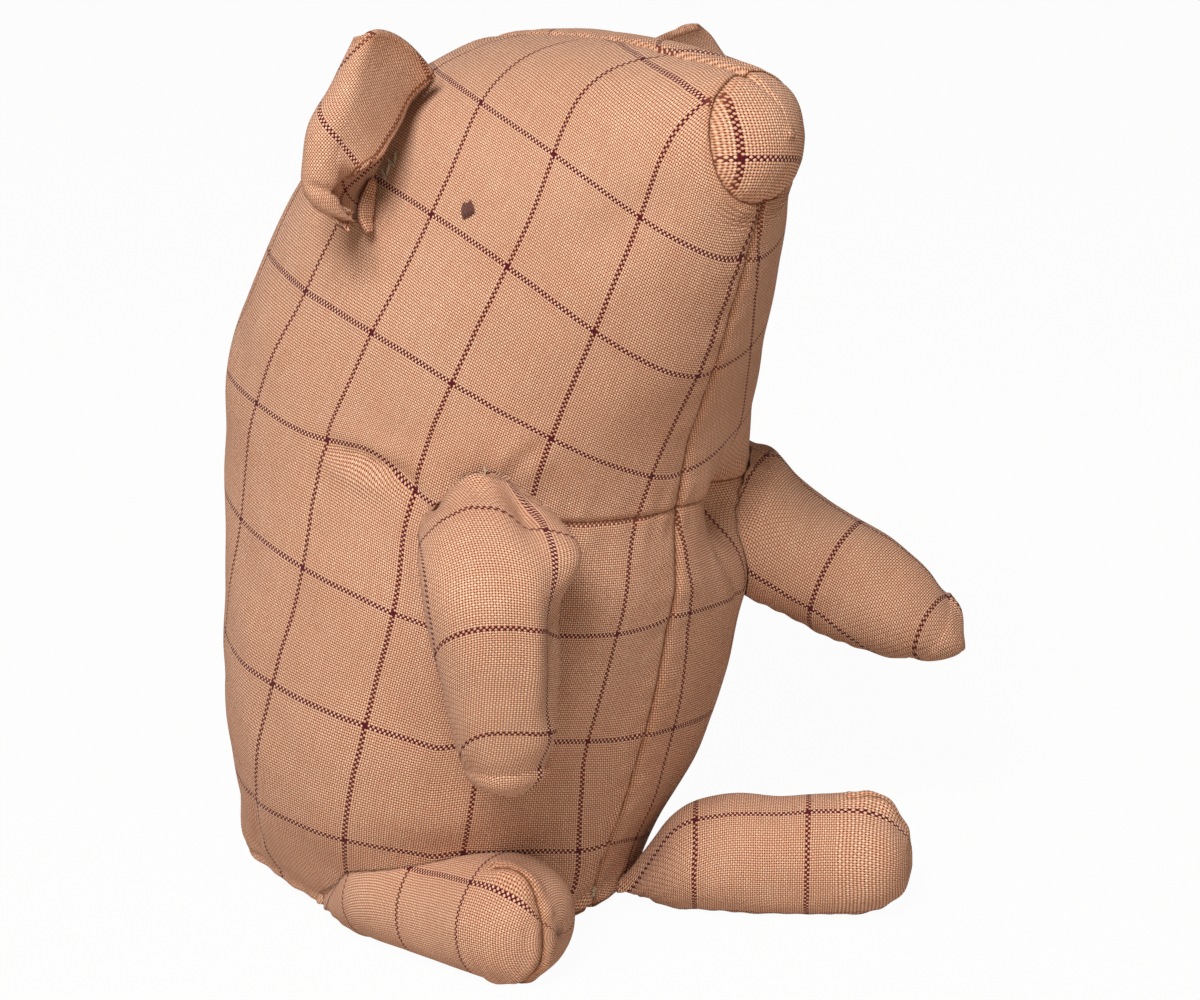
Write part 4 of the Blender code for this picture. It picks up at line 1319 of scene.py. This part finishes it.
class PIG_OT_eyes(bpy.types.Operator):
    """Makes the two eyes, each a few satin stitches of dark floss side by side"""
    bl_idname = "linen_pig.eyes"
    bl_label = "Eyes"

    def execute(self, context):
        look = context.scene.linen_pig_cloth
        tree = body_tree()
        # the floss's painted shade between strands is 0.18 of its colour
        floss = twisted_thread("dark_brown_floss", look.floss_colour,
                               [part * 0.18 for part in look.floss_colour], 5)
        for side, way in SIDE.items():
            near, out = on_body(tree, skin(EYE_UP, way * EYE_ROUND))
            up_way = Vector((0, 0.25, 1.0))
            up_way = (up_way - out * up_way.dot(out)).normalized()
            beside = out.cross(up_way)
            places = []
            for across, high, proud, lean in EYE_STITCHES:
                spot = near + beside * (across * MM) + up_way * (high * MM)
                places.append((spot + out * proud * MM, out, up_way + beside * lean))
            piece = sewn("eye_" + side, one_stitch(*EYE_STITCH), places, floss)
            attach(piece, "torso")
            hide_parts("eye_knot_" + side)
        return {"FINISHED"}


# hand stitches on each side: height and turn on the skin, and how far each one rises and
# runs across
HAND_STITCHES = (
    (0.796, 0.622, 1.0, 0.2), (0.790, 0.618, 0.6, 0.9), (0.785, 0.612, 1.0, -0.1),
    (0.779, 0.610, 0.7, 0.5), (0.533, 0.288, 0.9, 0.5),
)
# the knot where the front seam ends: its height and turn, and how its stitches lie
KNOT_PLACE = (0.030, 0.004)
KNOT_STITCHES = ((0.2, 1.0), (1.0, 0.3), (-0.8, 0.6))


class PIG_OT_stitches(bpy.types.Operator):
    """Makes the hand stitches that hold the ears and arms, and the knot where the front seam ends"""
    bl_idname = "linen_pig.stitches"
    bl_label = "Hand stitches"

    def execute(self, context):
        look = context.scene.linen_pig_cloth
        tree = body_tree()
        # the thread's painted shade between strands is 0.35 of its colour
        thread = twisted_thread("pale_hand_thread", look.hand_colour,
                                [part * 0.35 for part in look.hand_colour], 3)
        places = []
        for side, way in SIDE.items():
            for up, turn, rise, across in HAND_STITCHES:
                near, out = on_body(tree, skin(up, way * turn))
                places.append((near + out * 0.25 * MM, out, (0.0, across, rise)))
        for across, rise in KNOT_STITCHES:
            near, out = on_body(tree, skin(*KNOT_PLACE))
            places.append((near + out * 0.3 * MM, out, (across, 0, rise)))
        piece = sewn("hand_stitches", one_stitch(*HAND_STITCH), places, thread)
        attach(piece, "torso")
        return {"FINISHED"}


class PIG_OT_stage(bpy.types.Operator):
    """Sets the pale floor, the soft studio light and the camera"""
    bl_idname = "linen_pig.stage"
    bl_label = "Stage"

    def execute(self, context):
        stage = context.scene.linen_pig_stage
        make_floor()
        make_light(stage)
        make_camera(context)
        context.scene.view_settings.view_transform = "Standard"
        return {"FINISHED"}


# how much of the floor's white the camera sees, and the rest is paper with the shadow on it
FLOOR_WHITE = 0.965


def seen_by_eye(tree):
    """1 for what the camera sees itself, in a reflection or through glass, and 0 for light."""
    rays = node(tree, "ShaderNodeLightPath", (-600, 400)).outputs
    seen = sums(tree, "MAXIMUM", rays["Is Camera Ray"], rays["Is Glossy Ray"])
    return sums(tree, "MAXIMUM", seen, rays["Is Transmission Ray"])


def make_floor():
    bpy.ops.object.select_all(action="DESELECT")
    bpy.ops.mesh.primitive_plane_add(size=6, location=(0, 0, 0))
    floor = bpy.context.object
    floor.name = "floor"
    material = bpy.data.materials.new("pale_paper_floor")
    material.use_nodes = True
    tree = material.node_tree
    tree.nodes.clear()
    grain = node(tree, "ShaderNodeTexNoise", (-600, 0), {"Scale": 900.0})
    bump = node(tree, "ShaderNodeBump", (-450, 0), {"Height": grain.outputs[0], "Strength": 0.02})
    paper = node(tree, "ShaderNodeBsdfDiffuse", (-300, 100), {"Color": (0.66, 0.60, 0.55, 1)})
    tree.links.new(bump.outputs[0], paper.inputs["Normal"])
    white = node(tree, "ShaderNodeEmission", (-300, -100), {"Color": (1, 1, 1, 1), "Strength": 1.0})
    seen = sums(tree, "MULTIPLY", seen_by_eye(tree), FLOOR_WHITE)
    both = node(tree, "ShaderNodeMixShader", (0, 0),
                {0: seen, 1: paper.outputs[0], 2: white.outputs[0]})
    out = node(tree, "ShaderNodeOutputMaterial", (300, 0))
    tree.links.new(both.outputs[0], out.inputs[0])
    give(floor, material)


def make_light(stage):
    world = bpy.data.worlds.new("surround")
    bpy.context.scene.world = world
    world.use_nodes = True
    tree = world.node_tree
    tree.nodes.clear()
    soft = node(tree, "ShaderNodeBackground", (-300, 100),
                {"Color": (*stage.surround_colour, 1), "Strength": stage.surround})
    white = node(tree, "ShaderNodeBackground", (-300, -100),
                 {"Color": (1, 1, 1, 1), "Strength": 1.0})
    both = node(tree, "ShaderNodeMixShader", (0, 0),
                {0: seen_by_eye(tree), 1: soft.outputs[0], 2: white.outputs[0]})
    out = node(tree, "ShaderNodeOutputWorld", (200, 0))
    tree.links.new(both.outputs[0], out.inputs[0])
    aim = Vector((0.0, -0.03, 0.08))
    lamps = (
        ("key", Vector((-1.02, -0.46, 1.20)), stage.key_power, 0.6),
        ("fill", Vector((-0.45, -1.22, 0.40)), stage.fill_power, 0.9),
    )
    for name, place, power, size in lamps:
        data = bpy.data.lights.new(name, "AREA")
        data.energy = power
        data.size = size
        lamp = bpy.data.objects.new(name, data)
        lamp.location = place
        lamp.rotation_euler = (aim - place).to_track_quat("-Z", "Y").to_euler()
        bpy.context.scene.collection.objects.link(lamp)


def make_camera(context):
    back = Vector(CAMERA_BACK)
    data = bpy.data.cameras.new("camera")
    data.sensor_fit = "HORIZONTAL"
    data.sensor_width = SENSOR_MM
    data.lens = SENSOR_MM * CAMERA_AWAY / CAMERA_VIEW
    data.clip_start = 0.05
    camera = bpy.data.objects.new("camera", data)
    camera.location = Vector(CAMERA_AIM) + back * CAMERA_AWAY
    camera.rotation_euler = (-back).to_track_quat("-Z", "Y").to_euler()
    context.scene.collection.objects.link(camera)
    context.scene.camera = camera


class PIG_PT_panel(bpy.types.Panel):
    bl_label = "Linen Pig"
    bl_idname = "PIG_PT_panel"
    bl_space_type = "VIEW_3D"
    bl_region_type = "UI"
    bl_category = "Linen Pig"

    def draw(self, context):
        layout = self.layout
        for group in (context.scene.linen_pig_cloth, context.scene.linen_pig_stage):
            for name in group.bl_rna.properties.keys():
                if name not in {"rna_type", "name"}:
                    layout.prop(group, name)
        for operator in STEPS:
            layout.operator(operator.bl_idname)


STEPS = (PIG_OT_body, PIG_OT_limbs, PIG_OT_ears, PIG_OT_eyes, PIG_OT_stitches, PIG_OT_stage)
CLASSES = (ClothLook, StageSettings, *STEPS, PIG_PT_panel)


def register():
    for each in CLASSES:
        bpy.utils.register_class(each)
    bpy.types.Scene.linen_pig_cloth = PointerProperty(type=ClothLook)
    bpy.types.Scene.linen_pig_stage = PointerProperty(type=StageSettings)


def unregister():
    del bpy.types.Scene.linen_pig_cloth
    del bpy.types.Scene.linen_pig_stage
    for each in reversed(CLASSES):
        bpy.utils.unregister_class(each)


def main():
    register()
    bpy.ops.linen_pig.body()
    bpy.ops.linen_pig.limbs()
    bpy.ops.linen_pig.ears()
    bpy.ops.linen_pig.eyes()
    bpy.ops.linen_pig.stitches()
    bpy.ops.linen_pig.stage()


if __name__ == "__main__":
    main()
